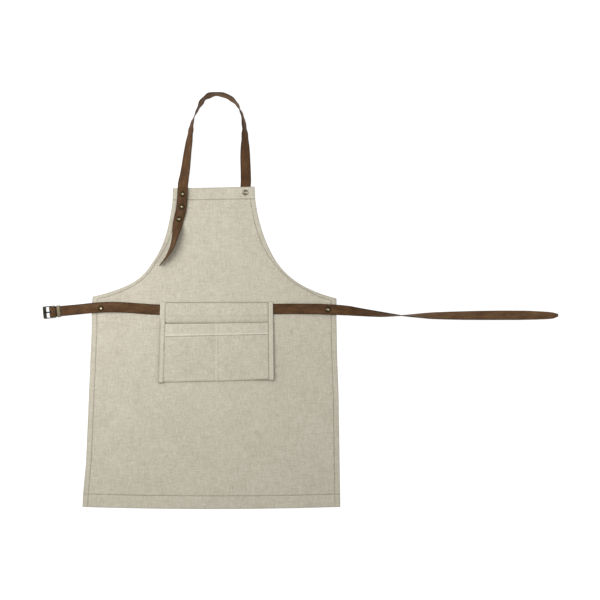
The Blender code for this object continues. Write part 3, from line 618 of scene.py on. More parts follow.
def make_canvas():
    """The apron's body: one cloth, its edges turned down and its seams drawn in."""
    side = insets(SIDE_HEM, SIDE_HEM + 16.0)
    top_rows = [(BIB_TOP - d, drop, BIB_HEM - d, d) for d, drop in insets(BIB_HEM, BIB_HEM + 14.0)]
    low_rows = [(HEM_Y + d, drop, BOTTOM_HEM - d, d) for d, drop in insets(BOTTOM_HEM, BOTTOM_HEM + 14.0)]
    top_inner, low_inner = top_rows[-1][0], low_rows[-1][0]
    plain = [top_inner + (low_inner - top_inner) * k / CANVAS_ROWS for k in range(1, CANVAS_ROWS)]
    plain += [WAIST_Y + 0.01, WAIST_Y - 2.4, WAIST_Y - 4.7, WAIST_Y - 7.0, WAIST_Y - MITRE]
    levels = top_rows + [(y, 0.0, None, FAR) for y in sorted(plain, reverse=True)] + low_rows[::-1]

    rows = []
    for y, drop_y, cross_seam, from_end in levels:
        half, widen = edge_at(y)
        edges = []
        for hand in (-1, 1):
            reach = seam_reach(hand, y)
            edge = []
            for d, drop in side:
                inset = d * reach / SIDE_HEM if d < SIDE_HEM else reach + (d - SIDE_HEM) * widen
                edge.append((hand * (half - inset), drop, (reach - inset) / widen, inset / widen))
            edges.append(edge)
        left, right = edges[0], edges[1][::-1]
        start, stop = left[-1][0], right[0][0]
        between = [(start + (stop - start) * k / CANVAS_COLUMNS, 0.0, None, FAR)
                   for k in range(1, CANVAS_COLUMNS)]
        row = []
        for offset, drop_x, side_seam, from_side in left + between + right:
            x, py = lay(offset, y)
            z = canvas_height(x, py) - max(drop_x, drop_y)
            # groove: painted shade along each seam's groove.
            groove = 0.0
            if side_seam is not None:
                strength = BAND_STRENGTH if y > BIB_FOOT else 1.0
                z += strength * seam_relief(-side_seam, y)
                groove = strength * painted_seam_shade(side_seam, y)
            if cross_seam is not None:
                z += seam_relief(-cross_seam, x)
                groove = max(groove, painted_seam_shade(cross_seam, x) * (BIB_SEAM_SHADE if y > 0.0 else 1.0))
            # rim: painted shade, darker towards the cloth's turned edges.
            rim = math.exp(-min(from_side, from_end) / LIP)
            row.append((x, py, z, groove, rim))
        rows.append(row)
    cloth = sheet_object("canvas_cloth", rows, CANVAS, CLOTH * 0.9)
    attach(cloth, "apron")
    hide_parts("canvas_panel")
    for name in HEMS:
        NODES[name].data.materials.clear()
        NODES[name].data.materials.append(CANVAS)


# Thread ------------------------------------------------------------------------
STITCH = 2.5
STITCH_GAP = 0.8
THREAD_R = 0.36
STITCH_SINK = 0.02  # of the canvas's stitches into their groove
STITCH_LIFT = 0.12  # of the pocket's stitches off the cloth


def along_path(points, step):
    """Points every step mm along a polyline, each with its direction."""
    points = [Vector(p) for p in points]
    spots = []
    want = 0.5 * step
    gone = 0.0
    for a, b in zip(points, points[1:]):
        length = (b - a).length
        if length < 1e-9:
            continue
        while want <= gone + length:
            spots.append((a.lerp(b, (want - gone) / length), (b - a) / length))
            want += step
        gone += length
    return spots


def make_stitches(name, paths, body=None, mat=THREAD, blend=None):
    """Rows of stitches as short bent threads whose ends dip into the cloth.

    They ride on one body; given a blend (body, body, its start, its end), they stay in place on no body,
    and the blend's bodies and ends are not used.
    """
    rings = ((-0.5, -0.55), (-0.36, 0.0), (0.0, 0.12), (0.36, 0.0), (0.5, -0.55))
    sides = 6
    up = Vector((0, 0, 1))
    verts, faces = [], []
    for path in paths:
        for place, heading in along_path(path, STITCH + STITCH_GAP):
            across = up.cross(heading).normalized()
            rise = heading.cross(across)
            first = len(verts)
            for share, dip in rings:
                middle = place + heading * (share * STITCH) + rise * (dip * THREAD_R * 1.6)
                wide = THREAD_R * (0.55 if abs(share) > 0.45 else 1.0)
                for k in range(sides):
                    angle = 2.0 * math.pi * k / sides
                    sideways = across * (wide * math.cos(angle))
                    verts.append(middle + sideways + rise * (wide * math.sin(angle)))
            faces += tube_faces(len(rings), sides, first)
    obj = new_object(name, verts, faces, mat)
    if blend:
        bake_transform(obj)
    else:
        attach(obj, body)
    return obj


def make_canvas_stitches():
    """The seam that holds each hem of the canvas, a hem's width inside its edge."""
    def on_cloth(offset, y):
        x, py = lay(offset, y)
        return x, py, canvas_height(x, py) - STITCH_SINK

    paths = []
    for y in (BIB_FOOT, HEM_Y + BOTTOM_HEM):
        half = edge_at(y)[0] - 3.0
        paths.append([on_cloth(-half + 2.0 * half * k / 80, y) for k in range(81)])
    tall = [BIB_FOOT - 0.5 - k * 3.0 for k in range(270)]
    tall = [y for y in tall if y > HEM_Y + 3.0]
    for side in (-1, 1):
        path = []
        for y in tall:
            path.append(on_cloth(side * (edge_at(y)[0] - seam_reach(side, y)), y))
        paths.append(path)
    make_stitches("stitches_canvas", paths, "apron")


# Pocket ------------------------------------------------------------------------
def pocket_half(side, y):
    """Half the pocket's width at a height: it widens downwards, more on its left."""
    share = (TUNNEL_TOP - y) / (TUNNEL_TOP - POCKET_BOTTOM)
    return POCKET_HALF + (FLARE_LEFT if side < 0 else FLARE_RIGHT) * share


def pocket_point(across, y):
    """Where a point of the pocket lies; across goes from -1 to 1 over its width."""
    share = (TUNNEL_TOP - y) / (TUNNEL_TOP - POCKET_BOTTOM)
    offset = pocket_half(across, y) * across
    return POCKET_X + offset, y + POCKET_SLOPE * share * offset


def tunnel_arch(y):
    """Underside of the cloth over the belt; it comes down gently to the pocket's backing."""
    if y > -25.0:
        return BACKING_Z + (TUNNEL_Z - BACKING_Z) * smooth((TUNNEL_TOP - y) / 6.0)
    step = 0.25 * smooth((-38.0 - y) / 5.0)
    rest = (TUNNEL_Z - BACKING_Z - 0.25) * smooth((-40.0 - y) / 27.0)
    return TUNNEL_Z - step - rest


TUNNEL_SEAMS = (TUNNEL_TOP - 1.1, TUNNEL_BOTTOM + 0.4, TUNNEL_BOTTOM - 3.0)
SEAM_DEPTHS = (0.22, 0.16, 0.10)
# Painted shade along each tunnel seam; the first is the dark line under the tunnel's top fold.
SEAM_SHADES = (1.3, 0.35, 0.0)


def cloth_level(across, y):
    """Upper side of the cloth that makes the tunnel and, below it, the pocket's backing."""
    x, py = pocket_point(across, y)
    z = tunnel_arch(y) + CLOTH + curl(across, y)
    z += 0.30 * wave(x, py, 26.0, 5.5) * smooth((TUNNEL_TOP - y) / 9.0)
    for seam, depth in zip(TUNNEL_SEAMS, SEAM_DEPTHS):
        z -= depth * ridge(y - seam, 0.8)
    return z


def curl(across, y):
    """The free pocket lifts a little off the apron at its sides and its lower left corner."""
    low = smooth((-62.0 - y) / 60.0)
    right = 3.3 * smooth((across - 0.25) / 0.75) * low
    left = 1.5 * smooth((-across - 0.45) / 0.55) * low
    foot = 1.5 * bump((across + 0.38) / 0.36) + 1.6 * bump((across - 0.80) / 0.30)
    return right + left + foot * smooth((POCKET_BOTTOM + 45.0 - y) / 45.0)


BACKING_COLUMNS = 96
BACKING_SHARE = 0.996  # of the pocket's width
FRONT_COLUMNS = 128
FRONT_SHARE = 0.985
FRONT_SEAM_ROWS = (0.6, 1.2, 1.8, 2.5, 3.2, 4.0)  # either side of the middle seam
HINGE_START = (0.0, -0.0435, 0.0)
HINGE_END = (0.0, -0.0545, 0.0)
FLAP = ("apron", "pocket_flap", HINGE_START, HINGE_END)


def make_pocket_cloth():
    """One cloth: sewn down over the belt as a tunnel, hanging free below as the pocket's backing."""
    heights = {TUNNEL_TOP - LIP * 0.6 * (1 - turned(a)[0]) for a in (0, 40, 90)}
    heights |= {seam + d for seam in TUNNEL_SEAMS for d in (-1.6, -0.7, 0.0, 0.7, 1.6)}
    y = TUNNEL_TOP - 5.0
    while y > POCKET_BOTTOM + 0.5:
        heights.add(y)
        y -= 1.6 if y > TUNNEL_BOTTOM - 22.0 else 4.0
    heights.add(POCKET_BOTTOM + 0.5)
    rows = []
    for y in sorted(heights, reverse=True):
        row = []
        for k in range(BACKING_COLUMNS + 1):
            across = (2.0 * k / BACKING_COLUMNS - 1.0) * BACKING_SHARE
            x, py = pocket_point(across, y)
            z = cloth_level(across, y)
            if y > TUNNEL_TOP - LIP:
                z -= 0.55 * (1.0 - (TUNNEL_TOP - y) / LIP)
            # Painted shade along the tunnel's seams.
            tone = max(painted_seam_shade(y - seam, x) * much for seam, much in zip(TUNNEL_SEAMS, SEAM_SHADES))
            # Painted shade in the pocket's mouth, where the front stands over the backing.
            mouth_shade = 1.15 - 0.20 * across + 0.25 * wave(x, 0.0, 45.0, 5.0)
            tone = max(tone, mouth_shade * smooth((POCKET_MOUTH + 3.4 - y) / 2.6))
            # Painted shade on the backing at and inside the pocket's mouth, under its front.
            tone = max(tone, 0.22 * smooth((POCKET_MOUTH + 10.0 - y) / 9.0))
            # Painted highlight along the ridge below the tunnel's lower seam.
            lightened = 0.30 * ridge(y - TUNNEL_BOTTOM + 3.2, 1.6) * (0.8 + 0.4 * wave(x, 0.0, 30.0, 2.0))
            # The fourth value is painted shade along the tunnel's top fold.
            row.append((x, py, z, tone, math.exp((y - TUNNEL_TOP) / 1.5), lightened))
        rows.append(row)
    cloth = sheet_object("pocket_cloth", rows, CANVAS_FLEX, CLOTH * 0.85)
    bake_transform(cloth)
    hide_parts("belt_tunnel", "pocket_backing")


def front_stand(across, y):
    """How far the pocket's front stands off its backing."""
    inner = 1.0 - (BAND_WIDTH + 3.0) / POCKET_HALF
    share = abs(across) / inner
    if share >= 1.0:
        return 0.0
    belly = min(1.0, 1.9 * math.sin(math.pi * share))
    belly = belly * belly * (3.0 - 2.0 * belly)
    mouth = smooth((y - POCKET_MOUTH + 30.0) / 30.0)
    return (2.0 + 1.9 * mouth) * belly * smooth((y - POCKET_BOTTOM - 9.0) / 45.0)


def mouth_lip(across):
    """Height of the pocket's mouth: it hangs below a straight line, most at its left end."""
    sag = 1.9 - 1.0 * across - 0.45 * across * across + 0.35 * wave(across * 150.0, 0.0, 60.0, 8.8)
    return POCKET_MOUTH - sag


def mouth_stitch(across):
    """Height of the seam under the pocket's mouth: a little lower at its left end."""
    return POCKET_MOUTH - MOUTH_HEM - 0.6 + 1.8 * across


TURNED_IN = 1.9  # from the front's outside to the hem turned in behind its mouth
CREASE_SCALE = 1.6
CREASES = (  # from (x, y) to (x, y), width, height of a soft crease in the pocket's front
    (-345.0, -62.0, -324.0, -90.0, 3.4, 0.9),
    (-337.0, -62.0, -330.0, -76.0, 2.2, -0.7),
    (-137.0, -62.0, -123.0, -83.0, 2.6, 0.9),
    (-131.0, -61.0, -122.0, -72.0, 2.0, -0.6),
    (-300.0, -101.0, -272.0, -113.0, 2.6, 0.5),
    (-218.5, -62.0, -217.0, -92.0, 2.2, 0.7),
    (-96.0, -62.0, -104.0, -84.0, 3.0, 0.4),
    (-362.0, -140.0, -340.0, -128.0, 4.0, 0.5),
    (-160.0, -118.0, -120.0, -175.0, 5.0, 0.4),
)


def crease_height(x, y, x0, y0, x1, y1, width, height):
    """Height at (x, y) of a crease that fades out at its ends."""
    run = Vector((x1 - x0, y1 - y0))
    rel = Vector((x - x0, y - y0))
    along = rel.dot(run) / run.length_squared
    off = abs(rel.x * run.y - rel.y * run.x) / run.length
    return height * bump(1.6 * (along - 0.35)) * ridge(off, width)


def front_level(across, y):
    """Upper side of the pocket's front."""
    x, py = pocket_point(across, y)
    z = FRONT_Z + CLOTH + front_stand(across, y) + curl(across, y)
    inside = smooth((0.885 - abs(across)) / 0.08)
    low = smooth((y - POCKET_BOTTOM) / 14.0)
    z += inside * low * (0.55 * wave(x, py, 30.0, 7.1) + 0.2 * wave(x, py, 12.0, 8.1))
    for crease in CREASES:
        z += CREASE_SCALE * crease_height(x, py, *crease)
    z += 0.35 * ridge(x - POCKET_X, 2.4)
    z += 0.40 * smooth((POCKET_X - x) / 4.0 + 0.5) * ridge(x - POCKET_X, 24.0)
    seam = mouth_stitch(across)
    z -= 0.34 * ridge(y - seam, 0.9)
    z += 0.25 * smooth((y - seam) / 2.0) + 0.30 * ridge(y - seam - 2.2, 1.1)
    z += 0.26 * math.exp(-abs(y - seam) / 8.0) * wave(x, 0.0, 8.0, 2.9)
    return z


def make_pocket_front():
    """The pocket's front: its mouth turned in behind, its foot turned under to the backing."""
    columns = {2.0 * k / FRONT_COLUMNS - 1.0 for k in range(FRONT_COLUMNS + 1)}
    columns |= {side * d / POCKET_HALF for d in FRONT_SEAM_ROWS for side in (-1, 1)} | {5.0 / POCKET_HALF}
    columns = [c * FRONT_SHARE for c in sorted(columns)]
    rows = []

    def add(height_of, level):
        row = []
        for across in columns:
            y = height_of(across)
            x, py = pocket_point(across, y)
            above = y - mouth_stitch(across)
            beside = x - POCKET_X
            # Painted shade along the mouth's seam.
            groove = painted_seam_shade(above, x) * 1.1
            # A little darker below the mouth's seam, and painted shade in a strip right of the middle seam,
            # on the side of its ridge away from the light.
            shade = max(groove, 0.05 * smooth(-above / 3.0), 0.26 * ridge(beside - 4.0, 1.8))
            # Painted light: the hem above the mouth's seam a little paler, and a painted highlight along
            # the ridge just above the seam.
            lightened = 0.20 * smooth(above / 2.5) + 1.10 * ridge(above - 2.9, 1.5)
            # Painted highlight along the mouth's lip, stronger at its left end.
            lightened += 0.5 * ridge(mouth_lip(across) - y, 1.4) * (0.6 - 0.4 * across)
            fade = 0.75 + 0.25 * wave(y, 0.0, 23.0, 1.1)
            # Painted highlight along the middle seam's ridge.
            lightened += 1.30 * fade * ridge(beside + 0.4, 1.7)
            row.append((x, py, level(across, y), shade, 0.0, lightened * (1.0 - 0.8 * min(1.0, groove))))
        rows.append(row)

    def behind(across, y):
        return front_level(across, y) - TURNED_IN

    hem_foot = POCKET_MOUTH - MOUTH_HEM
    for k in range(9):
        add(lambda a, k=k: hem_foot + (mouth_lip(a) - 1.2 - hem_foot) * k / 8, behind)
    for angle in (-55, -20, 20, 55):
        out, up = turned(angle)
        add(
            lambda a, out=out: mouth_lip(a) - 1.0 + out,
            lambda a, y, up=up: front_level(a, mouth_lip(a) - 1.0) - 0.95 + 0.95 * up,
        )
    for d in (1.4, 2.6):
        add(lambda a, d=d: mouth_lip(a) - d, front_level)
    for k in range(8):
        add(lambda a, k=k: POCKET_MOUTH - 6.4 - 2.9 * k, front_level)
    for d in (4.6, 3.2, 2.0, 0.9, 0.0, -0.9, -2.0):
        add(lambda a, d=d: mouth_stitch(a) + d, front_level)
    y = hem_foot - 6.0
    while y > POCKET_BOTTOM + 2.0:
        add(lambda a, y=y: y, front_level)
        y -= 3.2
    foot = FRONT_Z + CLOTH
    radius = 0.5 * (foot - BACKING_Z)
    for angle in (75, 45, 15, -15, -45, -75):
        out, up = turned(angle)
        add(
            lambda a, out=out: POCKET_BOTTOM + 1.6 - 1.6 * out,
            lambda a, y, up=up: foot - radius + radius * up,
        )
    cloth = sheet_object("pocket_front_cloth", rows, CANVAS, CLOTH * 0.8)
    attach(cloth, "pocket_flap")
    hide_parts("pocket_front", "pocket_mouth_hem")


def band_level(side, y):
    """Upper side of the turned band down each side of the pocket."""
    over_front = FRONT_Z + 2.0 * CLOTH + 0.15 + curl(side, y)
    over_cloth = cloth_level(0.97 * side, y) + 0.9
    return over_cloth + (over_front - over_cloth) * smooth((TUNNEL_BOTTOM - 4.0 - y) / 13.0)


# The third column is painted shade along the band's seam and edges.
BAND_PROFILE = (  # distance in from the edge, height against the band's top, darkness
    (BAND_WIDTH + 0.2, -0.60, 0.9), (BAND_WIDTH - 0.3, -0.15, 0.7), (BAND_WIDTH - 1.2, -0.20, 0.3),
    (BAND_WIDTH - 1.9, -0.42, 0.9), (BAND_WIDTH - 2.6, -0.25, 0.3), (BAND_WIDTH - 4.0, 0.05, 0.0),
    (8.0, 0.14, 0.0), (6.5, 0.02, 0.3), (5.0, 0.12, 0.0), (2.0, 0.02, 0.0), (0.9, -0.25, 0.0),
    (0.2, -0.80, 0.2),
)


def make_pocket_bands():
    """The band down each side: a strip folded round the edge of the cloth."""
    for side, word in ((-1, "left"), (1, "right")):
        rows = []
        y = TUNNEL_TOP + 0.3
        while y > POCKET_BOTTOM - 0.6:
            rows.append(y)
            y -= 1.3 if y > TUNNEL_BOTTOM - 20.0 else 3.4
        rows.append(POCKET_BOTTOM - 0.6)
        grid = []
        for y in rows:
            top = band_level(side, y) + 0.12 * wave(y, side * 40.0, 9.0, 3.0)
            if y > TUNNEL_TOP - 1.0 or y < POCKET_BOTTOM + 0.6:
                top -= 0.4
            foot = BACKING_Z - 0.1 + curl(side, y)
            row = []
            low = smooth((TUNNEL_BOTTOM - y) / 14.0)
            for inset, dip, tone in BAND_PROFILE:
                # Painted shade along the band's inner edge and seam, stronger on the right band, which
                # faces away from the light.
                if inset > BAND_WIDTH - 3.0:
                    tone *= 1.0 + 0.6 * side
                    dip *= 1.0 + 0.35 * side
                # Painted shade along the left band's outer edge.
                elif side < 0 and inset < 2.5:
                    tone = 1.1 * low
                # Paler over the middle of each band and along the right band's outer edge.
                lightened = 0.30 if 2.5 < inset < BAND_WIDTH - 2.8 or (side > 0 and inset < 2.5) else 0.0
                half = pocket_half(side, y)
                x, py = pocket_point(side * (half - inset) / half, y)
                row.append((x, py, top + dip, tone, 0.0, lightened))
            x, py = pocket_point(side, y)
            # Painted shade on the band's outer wall.
            for share in (0.35, 0.7, 1.0):
                drop = (foot + 0.5 - top + 0.8) * share
                row.append((x, py, top - 0.8 + drop, 0.2 + 0.8 * low, 0.6))
            grid.append(row)
        band = sheet_object(f"pocket_edge_{word}", grid, CANVAS_FLEX, 0.5)
        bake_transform(band)
        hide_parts(f"pocket_band_{word}", f"tunnel_band_{word}")


def make_pocket_stitches():
    """The tunnel's seams, the mouth's hem, the middle seam and a row down each band."""
    def on_cloth(across, y):
        x, py = pocket_point(across, y)
        return x, py, cloth_level(across, y) + STITCH_LIFT

    span = [-0.985 + 1.97 * k / 80 for k in range(81)]
    inner = [a for a in span if abs(a) < 1.0 - BAND_WIDTH / POCKET_HALF]
    rows = [[on_cloth(a, y) for a in inner] for y in TUNNEL_SEAMS]
    make_stitches("stitches_tunnel", rows[:1], "apron")
    make_stitches("stitches_tunnel_bottom", rows[1:2], "apron", mat=THREAD_PALE)
    make_stitches("stitches_tunnel_foot", rows[2:], mat=THREAD_PALE, blend=FLAP)

    def on_front(across, y):
        x, py = pocket_point(across, y)
        return x, py, front_level(across, y) + STITCH_LIFT

    make_stitches("stitches_pocket_mouth", [[on_front(a, mouth_stitch(a)) for a in inner]], "pocket_flap")
    downs = [POCKET_MOUTH - 2.0 - 3.0 * k for k in range(60)]
    downs = [y for y in downs if y > POCKET_BOTTOM + 1.5]
    middle = [on_front(0.0, y) for y in downs]
    make_stitches("stitches_pocket_middle", [middle], "pocket_flap", mat=THREAD_PALE)
    paths = []
    for side in (-1, 1):
        path = []
        for k in range(100):
            y = TUNNEL_TOP - 1.2 - 2.1 * k
            if y < POCKET_BOTTOM + 1.0:
                break
            half = pocket_half(side, y)
            x, py = pocket_point(side * (half - BAND_WIDTH + 2.1) / half, y)
            path.append((x, py, band_level(side, y) - 0.4 + STITCH_LIFT))
        paths.append(path)
    make_stitches("stitches_bands", paths, blend=FLAP)


# Straps ------------------------------------------------------------------------
def spline(points, t):
    """A smooth value between given points, each a tuple of the same length."""
    last = len(points) - 1
    k = min(int(t * last), last - 1)
    f = t * last - k
    p1, p2 = Vector(points[k]), Vector(points[k + 1])
    p0 = Vector(points[k - 1]) if k > 0 else p1 * 2 - p2
    p3 = Vector(points[k + 2]) if k < last - 1 else p2 * 2 - p1
    square = (2 * p0 - 5 * p1 + 4 * p2 - p3) * f**2
    cube = (3 * p1 - p0 - 3 * p2 + p3) * f**3
    return 0.5 * (2 * p1 + (p2 - p0) * f + square + cube)


def route(places, rolls, count):
    """Centreline samples (point, roll, width share) from (x, y, support height) and (degrees, share)."""
    samples = []
    for k in range(count):
        t = k / (count - 1)
        x, y, support = spline(places, t)
        roll, share = spline(rolls, t)
        roll = math.radians(roll)
        rise = 0.5 * STRAP_WIDTH * share * abs(math.sin(roll)) + 0.5 * LEATHER * abs(math.cos(roll))
        samples.append((Vector((x, y, support + rise)), roll, share))
    return samples


def rolled(samples):
    """The same samples as (point, unit vector across, width share)."""
    out = []
    for k, (point, roll, share) in enumerate(samples):
        before = samples[max(0, k - 1)][0]
        after = samples[min(len(samples) - 1, k + 1)][0]
        heading = (after - before).normalized()
        left = Vector((0, 0, 1)).cross(heading).normalized()
        above = heading.cross(left)
        out.append((point, left * math.cos(roll) + above * math.sin(roll), share))
    return out


# Half of the strap's section: distance in from its edge, height above its middle.
TOP_HALF = ((0.0, 0.0), (0.10, 0.62), (0.42, 1.02), (1.0, 1.20), (1.7, 1.22), (2.15, 0.98), (2.6, 1.20),
            (5.0, 1.24), (9.0, 1.27), (13.75, 1.29))
UNDER_HALF = ((0.10, -0.62), (0.42, -1.02), (1.2, -1.21), (5.0, -1.24), (13.75, -1.25))


def strap_section():
    """(across from -1 to 1, height, face) right round the strap's section."""
    half = STRAP_WIDTH / 2
    top = [((half - d) / half, h, 1.0 if h > 0.5 else 0.0) for d, h in TOP_HALF]
    over = [(-a, h, f) for a, h, f in top[:-1]]
    under = [((half - d) / half, h, -1.0) for d, h in UNDER_HALF]
    beneath = [(-a, h, f) for a, h, f in under]
    return over + top[::-1] + under + beneath[-2::-1]


def strap_object(name, line, run=0.0, seed=0.0, dark=()):
    """A leather strap along (point, across, share), with rounded edges and a creased border.

    dark lists (x, reach, amount) of places painted darker across the whole strap; on the belt these are
    painted shade.
    """
    section = strap_section()
    verts, facts, dark_marks = [], [], []
    last = None
    for k, (point, across, share) in enumerate(line):
        before = line[max(0, k - 1)][0]
        after = line[min(len(line) - 1, k + 1)][0]
        heading = (after - before).normalized()
        normal = heading.cross(across).normalized()
        if last is not None:
            run += (point - last).length
        last = point
        sway = 0.18 * noise.noise(Vector((run / 16.0, seed, 0.5)))
        for a, height, face in section:
            ripple = 0.10 * noise.noise(Vector((run / 9.0, a * 2.0, seed)))
            place = point + across * (a * share * STRAP_WIDTH / 2 + sway) + normal * (height + ripple)
            verts.append(place)
            facts.append((run, a * (share if share > 0.6 else 1.0), face))
            tint = sum(much * ridge(point.x - x, reach) for x, reach, much in dark)
            dark_marks.append((tint, 0.0, 0.0))
    faces = tube_faces(len(line), len(section))
    obj = new_object(name, verts, faces, LEATHER_MAT, {"strap": facts, "dark": dark_marks})
    face_outwards(obj.data)
    obj.data.set_sharp_from_angle(angle=math.radians(60.0))
    return obj


LOOP_LINE = 312.0  # where the neck loop begins, above the bib's top edge
NECK_SPLIT = 299.0  # where the loop's piece meets the tail's
LOOP_PLACES = (  # x, y and the height of what the strap lies on
    (-144.9, 312.9, 1.1), (-145.4, 346.0, 0.5), (-146.6, 382.0, 0.3), (-147.0, 420.0, 0.3),
    (-148.6, 456.0, 0.3), (-155.0, 491.0, 0.3), (-170.5, 521.0, 0.3), (-196.0, 540.0, 0.3),
    (-228.0, 545.0, 0.3), (-254.5, 533.5, 0.3), (-272.0, 505.0, 0.3), (-286.0, 472.0, 0.3),
    (-292.6, 434.0, 0.3), (-299.0, 392.0, 0.3), (-304.9, 345.0, 1.6), (-308.2, 326.0, 3.1),
    (-310.6, 312.9, 4.4),
)
LOOP_ROLLS = (  # how far the strap is rolled over, in degrees, and its width share
    (0, 1), (11, 1), (21, 1), (45, 1), (65, 1), (85, 1), (98, 1), (108, 1),
    (109, 1), (106, 1), (97, 1), (75, 1), (52, 1), (40, 1), (26, 1), (19, 1), (3, 1),
)
TAIL_PLACES = (
    (-312.1, 294.9, 6.6), (-312.4, 289.0, 8.1), (-313.3, 272.0, 8.1), (-314.6, 257.5, 6.5),
    (-317.2, 236.5, 6.5), (-320.1, 224.5, 5.5), (-325.2, 204.0, 5.5), (-327.6, 189.0, 4.6),
    (-331.0, 172.0, 3.6), (-338.5, 144.0, 3.4), (-352.6, 117.0, 4.4), (-372.8, 91.6, 6.5),
)
TAIL_ROLLS = (
    (0, 1), (0, 1), (0, 1), (0, 1), (0, 1), (0, 0.99), (0, 0.94), (20, 0.93),
    (45, 0.94), (61, 0.95), (73, 0.86), (84, 0.34),
)
KINK_LENGTH = 18.0
KINK_ROLL = 0.26
LOOP_SAMPLES = 151
TAIL_SAMPLES = 84


def kinked(samples):
    """The same samples with the small kinks of leather that has been worn round a neck."""
    out = []
    for point, roll, share in samples:
        wobble = wave(point.x, point.y, KINK_LENGTH, 3.1)
        out.append((point, roll + KINK_ROLL * smooth((point.y - 395.0) / 60.0) * wobble, share))
    return out


def make_neck_strap():
    """One strap: from behind the bib, round the neck, over the bib's other corner to a free tail."""
    under_bib = []
    for y in (269.0, 276.0, 284.0, 292.0, 300.0, 307.0):
        under_bib.append((Vector((-147.2 + 0.05 * (y - 269.0), y, 1.1 + LEATHER / 2)), 0.0, 1.0))
    bridge = []
    for y in (309.0, 306.0, 302.5, NECK_SPLIT):
        down = LOOP_LINE - y
        bridge.append((Vector((-311.3 - 0.05 * down, y, 4.45 + 0.115 * down + LEATHER / 2)), 0.0, 1.0))
    line = rolled(under_bib + kinked(route(LOOP_PLACES, LOOP_ROLLS, LOOP_SAMPLES)) + bridge)
    loop = strap_object("neck_strap", line, seed=1.0)
    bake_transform(loop)
    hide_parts("neck_loop", "neck_strap_anchor", "neck_strap_bridge")
    lead = bridge[-1:] + [(Vector((-312.0, 296.6, 6.3 + LEATHER / 2)), 0.0, 1.0)]
    line = rolled(lead + route(TAIL_PLACES, TAIL_ROLLS, TAIL_SAMPLES))
    tail = strap_object("neck_strap_end", line, run=690.0, seed=1.0, dark=((-324.0, 13.0, 0.17),))
    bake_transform(tail)
    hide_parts("neck_tail")


BELT_SPLIT = -224.0  # where the belt's two pieces meet inside the tunnel
BELT_Y = -25.4
BELT_INSIDE = 154.0  # from there to the right half's first place
BELT_LEFT_OUT = -366.0  # where the halves begin to rise out of the tunnel
BELT_RIGHT_OUT = -78.0
BELT_Z = BACKING_Z + LEATHER / 2
RIGHT_PLACES = (
    (-70.1, -23.6, 2.9), (-20.0, -23.0, 4.2), (44.0, -23.4, 6.7), (*BELT_SNAP_RIGHT, 6.7),
    (92.0, -25.6, 5.6), (128.0, -28.2, 1.6), (163.0, -32.4, 0.5), (217.0, -37.9, 0.3),
    (272.0, -40.9, 0.3), (317.0, -41.2, 0.3), (353.0, -41.3, 0.3), (426.0, -40.9, 0.3),
    (506.0, -40.3, 0.3), (589.0, -40.1, 0.3), (643.0, -40.5, 0.3), (668.0, -40.8, 0.3),
    (684.0, -39.8, 0.3),
)
RIGHT_ROLLS = (
    (0, 1), (0, 1), (0, 1), (0, 1), (0, 1), (22, 1), (42, 1), (63, 1), (92, 1), (113, 1), (128, 1),
    (143, 1), (152, 1), (158, 0.95), (166, 0.78), (170, 0.62), (172, 0.26),
)
RIGHT_SAMPLES = 190

BAR = Vector((-661.7, -31.7, 5.6))  # middle of the buckle's bar
BUCKLE_TURN = math.radians(5.6)
BUCKLE_TILT = math.radians(11.0)
BELT_HINGE_LEFT = -374.0
FOLD = 3.05  # from the bar's centre to the middle of the leather round it
SLOT_CUTS = (  # corners of the prong's slot from the bar's centre: upper layer, then lower layer
    ((-9.2, -2.3, -1.0), (5.8, 2.3, 10.0)),
    ((-9.2, -1.9, -10.0), (3.9, 1.9, 0.5)),
)


def belt_left_height(x):
    """Height of the leather's middle along the belt's left half."""
    stops = (
        (-374.9, 4.15), (-440.0, 4.9), (-508.0, 7.95), (-548.0, 7.95), (-600.0, 2.6),
        (-611.0, 2.6), (-631.0, 5.6), (-651.0, 5.75), (BAR.x, BAR.z + FOLD),
    )
    for (x0, z0), (x1, z1) in zip(stops, stops[1:]):
        if x >= x1:
            return z0 + (z1 - z0) * smooth((x0 - x) / (x0 - x1))
    return stops[-1][1]


def belt_left_course(x):
    """How far up or down the table the belt's left half runs."""
    bend = -560.0
    if x < bend:
        return BAR.y + math.tan(BUCKLE_TURN) * (x - BAR.x)
    straight = BAR.y + math.tan(BUCKLE_TURN) * (bend - BAR.x)
    share = max(0.0, (BELT_HINGE_LEFT - x) / (BELT_HINGE_LEFT - bend))
    return BELT_Y + (straight - BELT_Y) * share + 4.6 * math.sin(math.pi * share**1.5)


